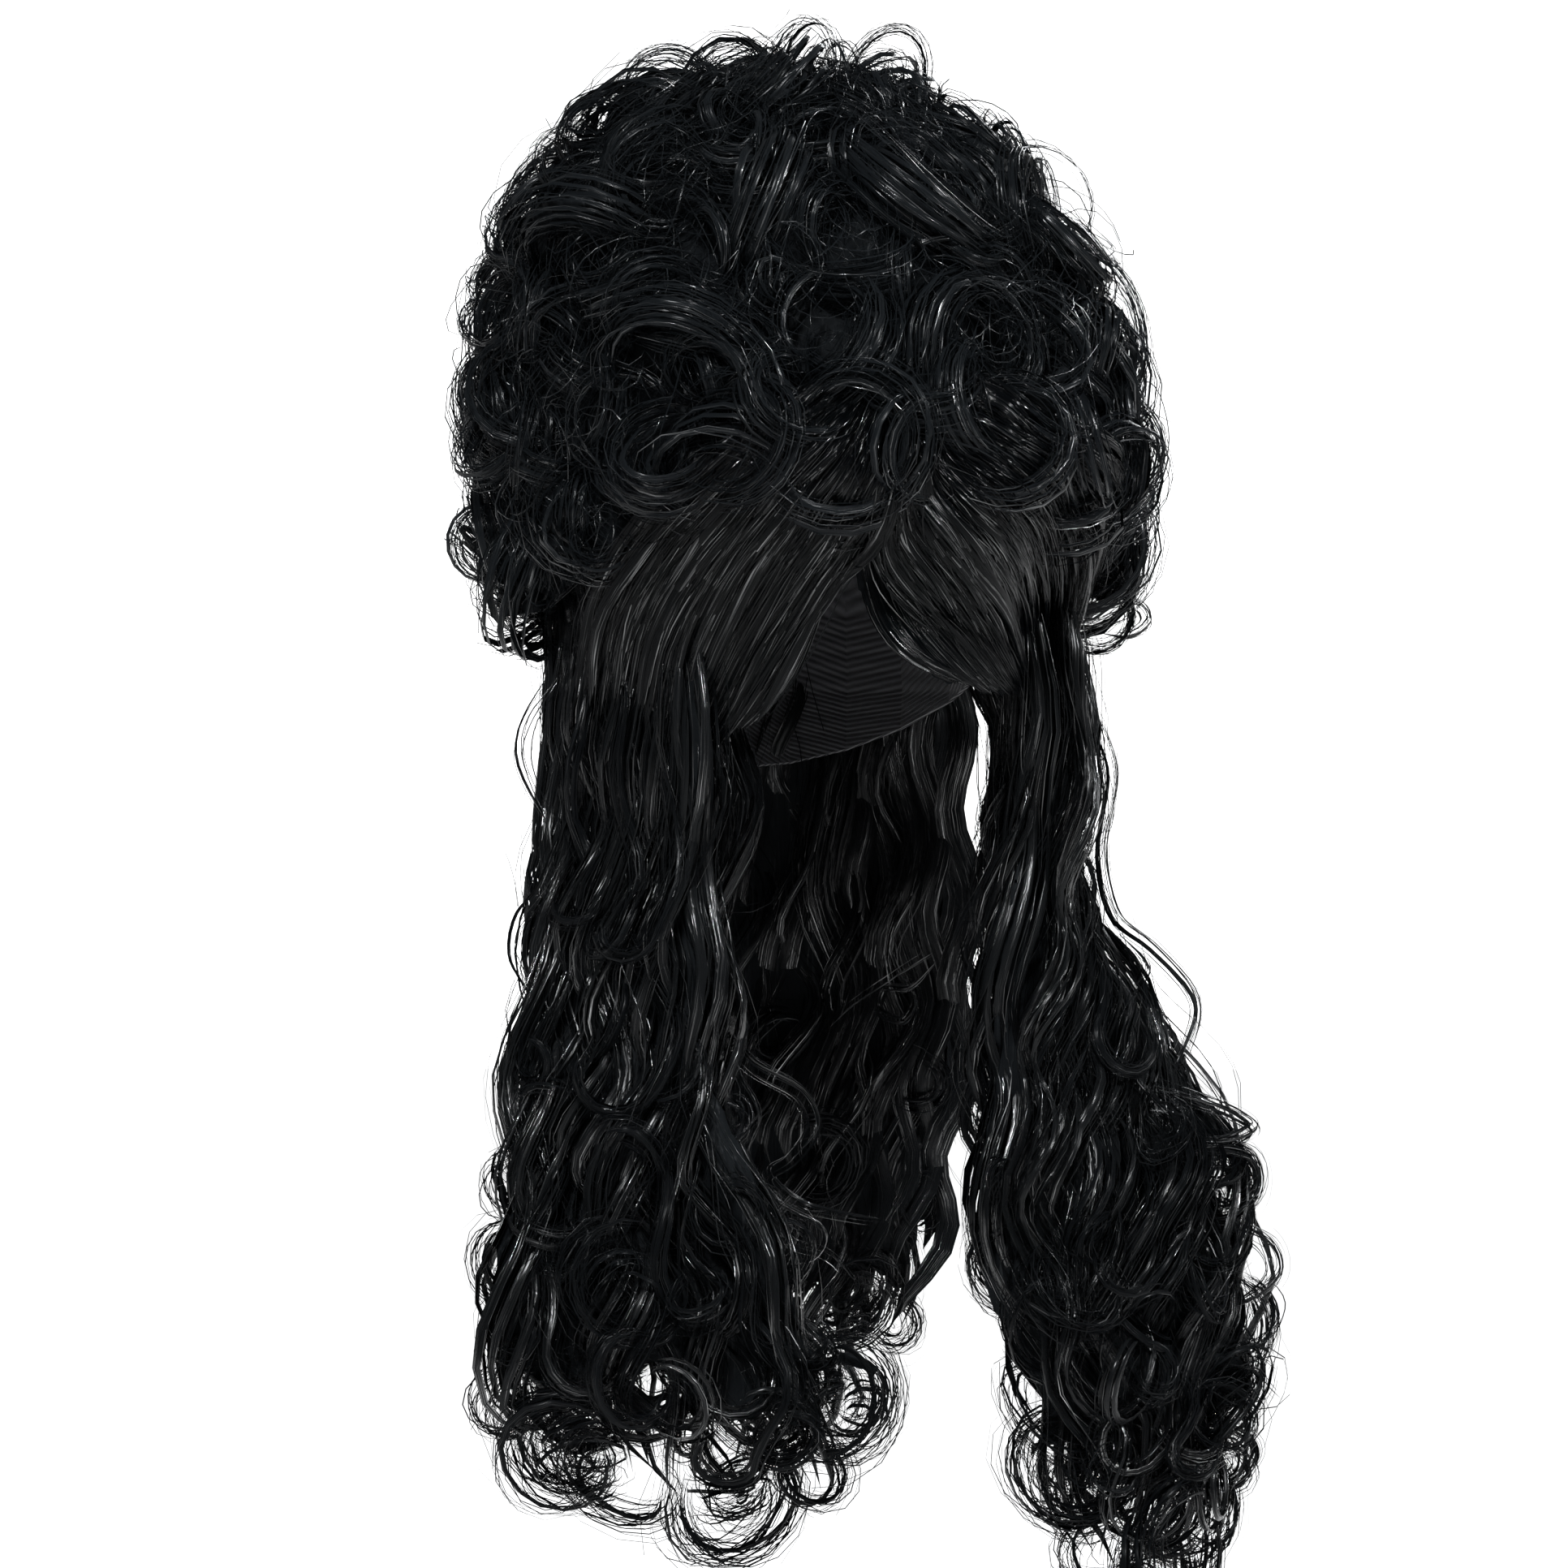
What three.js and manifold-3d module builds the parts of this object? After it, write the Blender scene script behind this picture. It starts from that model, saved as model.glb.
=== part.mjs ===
// Beehive wig: a net cap, a teased mound of ring curls, a fringe parted on one side, and three
// long wavy falls of hair. Each piece of hair is a solid of locks fused to a backing.
// Millimetres, +Z up. The origin is the inside top of the cap, where the crown of the head
// meets it. The wig faces -Y, and +X is the wearer's left.

import * as THREE from 'three';
import { mergeVertices } from 'three/addons/utils/BufferGeometryUtils.js';
import Module from 'manifold-3d';

const wasm = await Module();
wasm.setup();

// Head hollow and cap
const headHalfWidth = 78;
const headHalfLength = 98;
const headHalfHeight = 105;
const capWall = 2;
const rimDropFront = 50;
const rimDropBack = 140;
const pieceGap = 0.3;

// Room under the beehive for the roots of the hanging hair
const rootDepthSide = 23;
const rootDepthFront = 10;
const rootDepthBack = 16;
const rootDrop = 32;
const rootRise = 6;

// Beehive
const skirtWall = 15;
const skirtDrop = 76;
const frontLift = 44;
const beehiveRise = 155;
const beehiveSetBack = 4;
const beehiveLean = 24;

// Curls of the beehive
const curlRadius = 25;
const curlBand = 14;
const curlThickness = 7;
const curlSpacing = 74;
const curlSink = 9;
const teaseDepth = 5;

// Fringe
const fringeThickness = 5;
const fringeLockHalfWidth = 13;
const fringeRootFore = 22;
const fringeRootBend = 48;

// Falls: lengths from the roots, half widths and half depths at the chest
const rightFallLength = 405;
const rightFallHalfWidth = 90;
const rightFallHalfDepth = 26;
const leftFallLength = 448;
const leftFallHalfWidth = 80;
const leftFallHalfDepth = 26;
const backFallLength = 390;
const backFallHalfWidth = 112;
const backFallHalfDepth = 22;
const chestFore = 88;
const waveLength = 105;
const waveHeight = 9;
const ringletRadius = 19;
const ringletBand = 10;
const ringletThickness = 6;

const capReach = capWall + pieceGap;
const rootHalfWidth = headHalfWidth + capReach + rootDepthSide;
const rootFront = headHalfLength + capReach + rootDepthFront;
const rootBack = headHalfLength + capReach + rootDepthBack;
const rootHalfLength = (rootFront + rootBack) / 2;
const rootCentreY = (rootBack - rootFront) / 2;
const moundHalfWidth = rootHalfWidth + skirtWall;
const moundHalfLength = rootHalfLength + skirtWall;
const moundCentreY = rootCentreY + beehiveSetBack;
const moundHeight = beehiveRise + skirtDrop;
const cutterReach = 1000;

const fullTurn = 2 * Math.PI;
const degree = Math.PI / 180;

// Steps that spread each property evenly over the curls and locks as their index counts up
const placeStep = 0.618;
const phaseStep = 0.755;
const sizeStep = 0.57;
const tiltStep = 0.819;
const turnStep = 0.671;

// Outline of the mound under its curls: rise is a share of its height from the skirt's edge,
// girth a share of its half width where the skirt hangs
const moundProfile = [
  { rise: 0.0, girth: 0.92 },
  { rise: 0.09, girth: 1.0 },
  { rise: 0.2, girth: 1.03 },
  { rise: 0.32, girth: 1.04 },
  { rise: 0.44, girth: 1.02 },
  { rise: 0.56, girth: 0.97 },
  { rise: 0.68, girth: 0.88 },
  { rise: 0.79, girth: 0.75 },
  { rise: 0.89, girth: 0.56 },
  { rise: 0.965, girth: 0.32 },
  { rise: 1.0, girth: 0.0 },
];

// Curls that stand out at the edge of the beehive or show as swirls on its front. bearing is
// in degrees from the front, towards the wearer's left; rise as above; size is a share of the
// curl's radius; tilt and turn are degrees of its axis from the surface's normal and round it.
const standingCurls = [
  { bearing: -110, rise: 0.92, size: 1.1, tilt: 84, turn: 150 },
  { bearing: -112, rise: 0.76, size: 1.1, tilt: 84, turn: 10 },
  { bearing: -108, rise: 0.52, size: 0.9, tilt: 80, turn: 170 },
  { bearing: -112, rise: 0.3, size: 0.85, tilt: 84, turn: 5 },
  { bearing: -108, rise: 0.12, size: 0.85, tilt: 80, turn: 160 },
  { bearing: 68, rise: 0.84, size: 0.8, tilt: 80, turn: 20 },
  { bearing: 70, rise: 0.5, size: 1.1, tilt: 84, turn: 175 },
  { bearing: 72, rise: 0.31, size: 0.95, tilt: 82, turn: 0 },
  { bearing: 68, rise: 0.14, size: 1.05, tilt: 84, turn: 170 },
  { bearing: -14, rise: 0.28, size: 1.2, tilt: 22, turn: 90 },
  { bearing: -36, rise: 0.38, size: 1.0, tilt: 28, turn: 200 },
  { bearing: 10, rise: 0.46, size: 1.0, tilt: 30, turn: 320 },
];

// Sections of the falls: drop is a share of the fall's length; out a share of the root space's
// half width; fore a share of how far the chest stands forward; turn is the angle in degrees of
// the wide side from +X; wide and deep are shares of the half width and half depth; wrap is how
// far the edges bend round the head, a share of the head's half width.
const rightFallSections = [
  { drop: 0.0, out: 0.86, fore: 0.02, turn: 96, wide: 0.66, deep: 0.7, wrap: 0.22 },
  { drop: 0.12, out: 0.86, fore: 0.14, turn: 102, wide: 0.68, deep: 0.72, wrap: 0.18 },
  { drop: 0.29, out: 0.82, fore: 0.3, turn: 110, wide: 0.68, deep: 0.74, wrap: 0.1 },
  { drop: 0.41, out: 0.9, fore: 0.36, turn: 120, wide: 0.54, deep: 0.84, wrap: 0.04 },
  { drop: 0.53, out: 0.93, fore: 0.5, turn: 134, wide: 0.56, deep: 0.9, wrap: 0.0 },
  { drop: 0.66, out: 1.0, fore: 0.7, turn: 146, wide: 0.6, deep: 1.0, wrap: 0.0 },
  { drop: 0.76, out: 0.98, fore: 0.9, turn: 156, wide: 0.78, deep: 1.0, wrap: 0.0 },
  { drop: 0.87, out: 0.89, fore: 1.0, turn: 160, wide: 0.94, deep: 1.0, wrap: 0.0 },
  { drop: 1.0, out: 0.72, fore: 1.0, turn: 162, wide: 0.6, deep: 0.7, wrap: 0.0 },
];

const leftFallSections = [
  { drop: 0.0, out: 0.86, fore: 0.0, turn: 84, wide: 0.74, deep: 0.7, wrap: 0.22 },
  { drop: 0.1, out: 0.9, fore: 0.12, turn: 80, wide: 0.76, deep: 0.72, wrap: 0.16 },
  { drop: 0.2, out: 0.98, fore: 0.22, turn: 76, wide: 0.76, deep: 0.76, wrap: 0.1 },
  { drop: 0.3, out: 0.91, fore: 0.26, turn: 72, wide: 0.74, deep: 0.84, wrap: 0.04 },
  { drop: 0.39, out: 0.9, fore: 0.3, turn: 60, wide: 0.74, deep: 0.92, wrap: 0.0 },
  { drop: 0.49, out: 0.98, fore: 0.5, turn: 36, wide: 0.84, deep: 0.96, wrap: 0.0 },
  { drop: 0.6, out: 1.06, fore: 0.72, turn: 20, wide: 0.98, deep: 1.0, wrap: 0.0 },
  { drop: 0.72, out: 1.08, fore: 0.88, turn: 16, wide: 0.92, deep: 1.0, wrap: 0.0 },
  { drop: 0.84, out: 1.12, fore: 0.94, turn: 18, wide: 0.66, deep: 0.96, wrap: 0.0 },
  { drop: 1.0, out: 1.14, fore: 0.96, turn: 20, wide: 0.4, deep: 0.6, wrap: 0.0 },
];

// The back fall lies behind the head: its fore shares are of the head's half length
const backFallSections = [
  { drop: 0.0, out: 0.0, fore: -1.02, turn: 0, wide: 0.76, deep: 0.7, wrap: 0.5 },
  { drop: 0.12, out: 0.05, fore: -1.12, turn: 0, wide: 0.82, deep: 0.76, wrap: 0.56 },
  { drop: 0.3, out: 0.07, fore: -1.1, turn: 0, wide: 0.86, deep: 0.8, wrap: 0.5 },
  { drop: 0.48, out: 0.1, fore: -1.06, turn: 0, wide: 0.9, deep: 0.86, wrap: 0.38 },
  { drop: 0.66, out: 0.1, fore: -1.08, turn: 0, wide: 0.92, deep: 0.96, wrap: 0.24 },
  { drop: 0.84, out: 0.04, fore: -1.12, turn: 0, wide: 0.92, deep: 1.0, wrap: 0.1 },
  { drop: 1.0, out: 0.0, fore: -1.12, turn: 0, wide: 0.76, deep: 0.6, wrap: 0.04 },
];

// Locks of the fringe: x shares of the head's half width and drops below the roots as shares of
// the head's half height, at the root, half way and at the tip
const longFringeLocks = [
  { rootX: -0.16, midX: -0.04, tipX: 0.36, midDrop: 0.42, tipDrop: 0.64 },
  { rootX: 0.04, midX: 0.26, tipX: 0.72, midDrop: 0.42, tipDrop: 0.7 },
  { rootX: 0.24, midX: 0.52, tipX: 0.9, midDrop: 0.34, tipDrop: 0.7 },
  { rootX: 0.44, midX: 0.72, tipX: 0.97, midDrop: 0.26, tipDrop: 0.56 },
  { rootX: 0.6, midX: 0.84, tipX: 0.98, midDrop: 0.16, tipDrop: 0.42 },
];

const shortFringeLocks = [
  { rootX: -0.38, midX: -0.48, tipX: -0.78, midDrop: 0.4, tipDrop: 0.82 },
  { rootX: -0.48, midX: -0.62, tipX: -0.88, midDrop: 0.42, tipDrop: 0.96 },
  { rootX: -0.6, midX: -0.76, tipX: -0.96, midDrop: 0.34, tipDrop: 0.9 },
  { rootX: -0.7, midX: -0.88, tipX: -0.98, midDrop: 0.2, tipDrop: 0.6 },
];

// Closed three.js geometry to a solid that can be joined and cut
function solidOf(geometry) {
  geometry.deleteAttribute('normal');
  geometry.deleteAttribute('uv');
  const merged = mergeVertices(geometry);
  const mesh = new wasm.Mesh({
    numProp: 3,
    vertProperties: new Float32Array(merged.attributes.position.array),
    triVerts: new Uint32Array(merged.index.array),
  });
  return new wasm.Manifold(mesh);
}

function meshOf(name, solid, material) {
  const cut = withoutSpecks(solid).getMesh();
  const geometry = new THREE.BufferGeometry();
  geometry.setAttribute('position', new THREE.BufferAttribute(cut.vertProperties, 3));
  geometry.setIndex(new THREE.BufferAttribute(cut.triVerts, 1));
  geometry.computeVertexNormals();
  const mesh = new THREE.Mesh(geometry, material);
  mesh.name = name;
  return mesh;
}

function fuse(solids) {
  return solids.reduce((whole, solid) => whole.add(solid));
}

// Crossing locks close in specks of air, which are filled
function withoutSpecks(solid) {
  return fuse(solid.decompose().filter((body) => body.volume() > 0));
}

// Value of a column between two rows of a table that is sorted by another column
function between(rows, key, at, column) {
  const last = rows.length - 1;
  const next = Math.min(last, Math.max(1, rows.findIndex((row) => row[key] >= at)));
  const low = rows[next - 1];
  const high = rows[next];
  const share = (at - low[key]) / (high[key] - low[key]);
  return low[column] + (high[column] - low[column]) * Math.min(1, Math.max(0, share));
}

// Share from 0 to 1 that spreads evenly as the index counts up
function spread(index, step) {
  return (index * step) % 1;
}

// Lock of hair: a closed cylinder bent along a path. frameAt gives, for a share of the length,
// the point, the direction of the wide side, and the half sizes of the section.
function lock(frameAt, sides, steps, grow = 0) {
  const geometry = new THREE.CylinderGeometry(1, 1, 1, sides, steps);
  const place = geometry.attributes.position;
  const nearby = 0.01;
  for (let i = 0; i < place.count; i += 1) {
    const share = Math.min(1, Math.max(0, place.getY(i) + 0.5));
    const frame = frameAt(share);
    const before = frameAt(Math.max(0, share - nearby)).point;
    const along = frameAt(Math.min(1, share + nearby)).point.sub(before).normalize();
    const thick = frame.across.clone().cross(along).normalize();
    const wide = along.clone().cross(thick);
    const endGrow = share === 0 ? -grow : share === 1 ? grow : 0;
    const point = frame.point
      .clone()
      .addScaledVector(along, endGrow)
      .addScaledVector(wide, place.getX(i) * (frame.halfWidth + grow))
      .addScaledVector(thick, place.getZ(i) * (frame.halfThickness + grow));
    place.setXYZ(i, point.x, point.y, point.z);
  }
  return solidOf(geometry);
}

// Curl: a band bent round most of a turn, its opening towards the hair that carries it. It
// tightens along its turn, moves sideways like a spring, and thins towards both ends.
function curl({ centre, axis, outward, radius, band, thickness }, grow = 0) {
  const arc = 290 * degree;
  const tighten = 0.3;
  const pitch = 0.5;
  const endFullness = 0.1;
  const sides = 4;
  const steps = 6;
  const first = outward.clone().addScaledVector(axis, -outward.dot(axis)).normalize();
  const second = axis.clone().cross(first);
  const frameAt = (share) => {
    const angle = arc * (share - 0.5);
    const reach = radius * (1 + tighten * (0.5 - share));
    const inward = endFullness + (1 - 2 * endFullness) * share;
    const fullness = Math.sqrt(Math.sin(Math.PI * inward));
    return {
      point: centre
        .clone()
        .addScaledVector(first, reach * Math.cos(angle))
        .addScaledVector(second, reach * Math.sin(angle))
        .addScaledVector(axis, band * pitch * (share - 0.5)),
      across: axis,
      halfWidth: band * fullness,
      halfThickness: thickness * fullness,
    };
  };
  return lock(frameAt, sides, steps, grow);
}

// Ellipsoid of the head, swollen by a wall
function headForm(wall) {
  const meridians = 20;
  const parallels = 10;
  const geometry = new THREE.SphereGeometry(1, meridians, parallels);
  geometry.rotateX(Math.PI / 2);
  geometry.scale(headHalfWidth + wall, headHalfLength + wall, headHalfHeight + wall);
  geometry.translate(0, 0, -headHalfHeight);
  return solidOf(geometry);
}

// Everything under the plane through two lines that run along X
function under(front, back, inset = 0) {
  const slope = Math.atan2(back.z - front.z, back.y - front.y);
  const geometry = new THREE.BoxGeometry(2 * cutterReach, 2 * cutterReach, cutterReach);
  geometry.translate(0, 0, -cutterReach / 2 - inset);
  geometry.rotateX(slope);
  geometry.translate(0, front.y, front.z);
  return solidOf(geometry);
}

// Space that hanging hair may fill: the root space inside the skirt, what is under the skirt,
// and what is under the beehive's lifted front
function hangingSpace(inset) {
  const rootSides = 20;
  const roots = new THREE.CylinderGeometry(1, 1, cutterReach, rootSides);
  roots.rotateX(Math.PI / 2);
  roots.scale(rootHalfWidth - inset, rootHalfLength - inset, 1);
  roots.translate(0, rootCentreY, -rootDrop - inset - cutterReach / 2);
  const frontEdge = { y: moundCentreY - moundHalfLength, z: frontLift - skirtDrop };
  const sideEdge = { y: moundCentreY, z: -skirtDrop };
  const frontSpace = under(frontEdge, sideEdge, inset);
  const lowerSpace = under({ y: -1, z: -skirtDrop }, { y: 1, z: -skirtDrop }, inset);
  return fuse([solidOf(roots), frontSpace, lowerSpace]);
}

function cap() {
  const front = { y: -headHalfLength, z: -rimDropFront };
  const back = { y: headHalfLength, z: -rimDropBack };
  return headForm(capWall).subtract(headForm(0)).subtract(under(front, back));
}

// Middle of the mound at a height: it leans back as it rises
function moundAxisY(rise) {
  return moundCentreY + beehiveLean * rise;
}

// Lumps of the teased hair: how far the surface swells, a share of the mound's half width
function teased(bearing, rise) {
  const lumpsRound = 6;
  const lumpsUp = 3.5;
  const twist = 5;
  const round = Math.sin(lumpsRound * bearing + twist * rise);
  const lump = round * Math.sin(lumpsUp * fullTurn * rise);
  return (teaseDepth * lump) / moundHalfWidth;
}

function mound() {
  const moundSides = 22;
  const floor = new THREE.Vector2(0, 0);
  const outline = moundProfile.map((row) => new THREE.Vector2(row.girth, row.rise));
  const geometry = new THREE.LatheGeometry([floor, ...outline], moundSides);
  geometry.rotateX(Math.PI / 2);
  const place = geometry.attributes.position;
  for (let i = 0; i < place.count; i += 1) {
    const rise = place.getZ(i);
    const swell = 1 + teased(Math.atan2(place.getX(i), -place.getY(i)), rise);
    place.setXYZ(
      i,
      place.getX(i) * swell * moundHalfWidth,
      place.getY(i) * swell * moundHalfLength + moundAxisY(rise),
      rise * moundHeight - skirtDrop,
    );
  }
  return solidOf(geometry);
}

// Point of the mound's surface, with its outward normal and the level direction along it
function moundSurface(bearing, rise) {
  const pointAt = (turn, up) => {
    const girth = between(moundProfile, 'rise', up, 'girth');
    return new THREE.Vector3(
      Math.sin(turn) * girth * moundHalfWidth,
      -Math.cos(turn) * girth * moundHalfLength + moundAxisY(up),
      up * moundHeight - skirtDrop,
    );
  };
  const nearby = 0.02;
  const point = pointAt(bearing, rise);
  const level = new THREE.Vector3(
    Math.cos(bearing) * moundHalfWidth,
    Math.sin(bearing) * moundHalfLength,
    0,
  ).normalize();
  const upward = pointAt(bearing, Math.min(1, rise + nearby)).sub(
    pointAt(bearing, rise - nearby),
  );
  const normal = level.clone().cross(upward).normalize();
  return { point, normal, level };
}

// Curl on the mound: a flat one lies on the surface, and one that stands up is sunk in it
function beehiveCurl(bearing, rise, size, tilt, turn) {
  const flatLift = 0.4 * curlThickness;
  const { point, normal, level } = moundSurface(bearing, rise);
  const upward = normal.clone().cross(level);
  const axis = normal
    .clone()
    .multiplyScalar(Math.cos(tilt))
    .addScaledVector(level, Math.sin(tilt) * Math.cos(turn))
    .addScaledVector(upward, Math.sin(tilt) * Math.sin(turn))
    .normalize();
  const lift = flatLift * Math.cos(tilt) - curlSink * Math.sin(tilt);
  return curl({
    centre: point.clone().addScaledVector(normal, lift),
    axis,
    outward: normal,
    radius: curlRadius * size,
    band: curlBand,
    thickness: curlThickness,
  });
}

// Rows of curls up the mound, each row as many as its girth takes
function curlRows() {
  const rowCrowding = 1.3;
  const lowest = 0.1;
  const highest = 0.96;
  const strayRound = 0.3;
  const strayUp = 0.05;
  const leastSize = 0.85;
  const sizeRange = 0.4;
  const leastTilt = 25 * degree;
  const tiltRange = 55 * degree;
  const curls = [];
  const rows = Math.round((rowCrowding * moundHeight) / curlSpacing);
  for (let row = 0; row < rows; row += 1) {
    const rowRise = lowest + ((highest - lowest) * row) / (rows - 1);
    const girth = between(moundProfile, 'rise', rowRise, 'girth');
    const count = Math.max(1, Math.round((fullTurn * girth * moundHalfWidth) / curlSpacing));
    for (let i = 0; i < count; i += 1) {
      const index = curls.length + 1;
      const stagger = 0.5 * (row % 2) + strayRound * spread(index, placeStep);
      const bearing = (fullTurn * (i + stagger)) / count;
      const lift = (frontLift / moundHeight) * Math.max(0, Math.cos(bearing)) * (1 - rowRise);
      const strayed = rowRise + lift + strayUp * (spread(index, phaseStep) - 0.5);
      const rise = Math.min(highest, strayed);
      const size = leastSize + sizeRange * spread(index, sizeStep);
      const tilt = leastTilt + tiltRange * spread(index, tiltStep);
      const turn = fullTurn * spread(index, turnStep);
      curls.push(beehiveCurl(bearing, rise, size, tilt, turn));
    }
  }
  return curls;
}

function beehive() {
  const standing = standingCurls.map((row) =>
    beehiveCurl(
      row.bearing * degree,
      row.rise,
      row.size,
      row.tilt * degree,
      row.turn * degree,
    ),
  );
  return fuse([mound(), ...curlRows(), ...standing])
    .subtract(hangingSpace(0))
    .subtract(headForm(capReach));
}

// Point on the forehead under the fringe, at the middle of the fringe's thickness. At its roots
// the fringe stands forward, where it comes out from under the beehive's front.
function foreheadPoint(x, drop) {
  const middle = 0.6 * fringeThickness;
  const leastFore = 0.02;
  const rootShare = Math.min(1, Math.max(0, 1 - drop / fringeRootBend));
  const wall = capReach + middle + fringeRootFore * rootShare ** 2;
  const level = (headHalfHeight - rootDrop - drop) / (headHalfHeight + wall);
  const side = x / (headHalfWidth + wall);
  const fore = Math.sqrt(Math.max(leastFore, 1 - level * level - side * side));
  return new THREE.Vector3(x, -fore * (headHalfLength + wall), -rootDrop - drop);
}

// Side of the fringe: flat locks side by side on the forehead, each narrower towards its tip
function fringe(rows, grow = 0) {
  const rootDropShare = -0.06;
  const tipTaper = 0.55;
  const taperPower = 3;
  const sides = 4;
  const steps = 4;
  const locks = rows.map((row) => {
    const path = new THREE.CatmullRomCurve3([
      foreheadPoint(row.rootX * headHalfWidth, rootDropShare * headHalfHeight),
      foreheadPoint(row.midX * headHalfWidth, row.midDrop * headHalfHeight),
      foreheadPoint(row.tipX * headHalfWidth, row.tipDrop * headHalfHeight),
    ]);
    const frameAt = (share) => {
      const point = path.getPoint(share);
      const outward = new THREE.Vector3(
        point.x / headHalfWidth ** 2,
        point.y / headHalfLength ** 2,
        (point.z + headHalfHeight) / headHalfHeight ** 2,
      );
      const along = path.getTangent(share);
      const fullness = 1 - tipTaper * share ** taperPower;
      return {
        point,
        across: outward.cross(along).normalize(),
        halfWidth: fringeLockHalfWidth * fullness,
        halfThickness: fringeThickness * fullness,
      };
    };
    return lock(frameAt, sides, steps, grow);
  });
  return fuse(locks);
}

// Section of a fall at a share of its length. at gives the point at shares of its half width
// and half depth; the edges of a wrapped section bend back round the head.
function fallSection(form, drop) {
  const column = (name) => between(form.sections, 'drop', drop, name);
  const turn = column('turn') * degree;
  const wide = new THREE.Vector3(Math.cos(turn), Math.sin(turn), 0);
  const deep = new THREE.Vector3(-Math.sin(turn), Math.cos(turn), 0);
  const halfWidth = form.halfWidth * column('wide');
  const halfDepth = form.halfDepth * column('deep');
  const bend = form.outward * headHalfWidth * column('wrap');
  const middle = new THREE.Vector3(
    form.side * rootHalfWidth * column('out'),
    -form.foreSize * column('fore'),
    rootRise - rootDrop - drop * (form.length + rootRise),
  );
  const at = (across, through) =>
    middle
      .clone()
      .addScaledVector(wide, across * halfWidth)
      .addScaledVector(deep, through * halfDepth - bend * across * across);
  return { at, wide, deep, halfWidth, halfDepth };
}

// Backing that the locks of a fall are fused to: a share of the fall's section and length
function fallBacking(form, grow) {
  const share = 0.72;
  const reach = 0.96;
  const sides = 6;
  const steps = 6;
  const geometry = new THREE.CylinderGeometry(1, 1, 1, sides, steps);
  const place = geometry.attributes.position;
  for (let i = 0; i < place.count; i += 1) {
    const drop = reach * (0.5 - place.getY(i));
    const section = fallSection(form, drop);
    const across = place.getX(i) * (share + grow / section.halfWidth);
    const through = -place.getZ(i) * (share + grow / section.halfDepth);
    const point = section.at(across, through);
    place.setXYZ(i, point.x, point.y, point.z);
  }
  return solidOf(geometry);
}

// Wavy lock of a fall: the locks lie side by side, in turn on the outer and the inner side
function fallLock(form, index, grow) {
  const farthestAcross = 0.72;
  const offMiddle = 0.3;
  const shortest = 0.9;
  const fullSwingDrop = 0.5;
  const swingDeep = 0.4;
  const tipTaper = 0.45;
  const taperPower = 4;
  const widthShare = 0.3;
  const depthShare = 0.62;
  const sides = 4;
  const steps = 7;
  const across = farthestAcross * ((2 * index) / (form.locks - 1) - 1);
  const through = index % 2 === 0 ? offMiddle : -offMiddle;
  const reach = shortest + (1 - shortest) * spread(index + 1, placeStep);
  const frameAt = (share) => {
    const drop = share * reach;
    const section = fallSection(form, drop);
    const phase = fullTurn * ((drop * form.length) / waveLength + spread(index, phaseStep));
    const swing = waveHeight * Math.min(1, drop / fullSwingDrop);
    const fullness = 1 - tipTaper * share ** taperPower;
    return {
      point: section
        .at(across, through)
        .addScaledVector(section.wide, swing * Math.sin(phase))
        .addScaledVector(section.deep, swingDeep * swing * Math.cos(phase)),
      across: section.wide,
      halfWidth: section.halfWidth * widthShare * fullness,
      halfThickness: section.halfDepth * depthShare * fullness,
    };
  };
  return lock(frameAt, sides, steps, grow);
}

// Ringlet of the lower part of a fall: they stand round its section, each leaning its own way
function fallRinglet(form, index, grow) {
  const highest = 0.68;
  const leanShare = 0.5;
  const hang = 0.8;
  const acrossShare = 0.82;
  const throughShare = 0.7;
  const leastSize = 0.85;
  const sizeRange = 0.3;
  const share = (index + 0.5) / form.ringlets;
  const drop = highest + (1 - highest) * share;
  const round = fullTurn * spread(index + 1, placeStep);
  const section = fallSection(form, drop);
  const lean = fullTurn * spread(index + 1, phaseStep);
  const axis = section.deep
    .clone()
    .addScaledVector(section.wide, leanShare * Math.cos(lean))
    .addScaledVector(new THREE.Vector3(0, 0, 1), leanShare * Math.sin(lean))
    .normalize();
  const outward = section.wide
    .clone()
    .multiplyScalar(Math.cos(round))
    .addScaledVector(section.deep, Math.sin(round))
    .addScaledVector(new THREE.Vector3(0, 0, -1), hang)
    .normalize();
  return curl(
    {
      centre: section.at(acrossShare * Math.cos(round), throughShare * Math.sin(round)),
      axis,
      outward,
      radius: ringletRadius * (leastSize + sizeRange * spread(index, sizeStep)),
      band: ringletBand,
      thickness: ringletThickness,
    },
    grow,
  );
}

function fall(form, grow = 0) {
  const solids = [fallBacking(form, grow)];
  for (let index = 0; index < form.locks; index += 1) {
    solids.push(fallLock(form, index, grow));
  }
  for (let index = 0; index < form.ringlets; index += 1) {
    solids.push(fallRinglet(form, index, grow));
  }
  return fuse(solids);
}

const rightFall = {
  side: -1,
  outward: 1,
  sections: rightFallSections,
  length: rightFallLength,
  halfWidth: rightFallHalfWidth,
  halfDepth: rightFallHalfDepth,
  foreSize: chestFore,
  locks: 5,
  ringlets: 6,
};

const leftFall = {
  side: 1,
  outward: -1,
  sections: leftFallSections,
  length: leftFallLength,
  halfWidth: leftFallHalfWidth,
  halfDepth: leftFallHalfDepth,
  foreSize: chestFore,
  locks: 5,
  ringlets: 6,
};

const backFall = {
  side: 1,
  outward: 1,
  sections: backFallSections,
  length: backFallLength,
  halfWidth: backFallHalfWidth,
  halfDepth: backFallHalfDepth,
  foreSize: headHalfLength,
  locks: 5,
  ringlets: 4,
};

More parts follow.
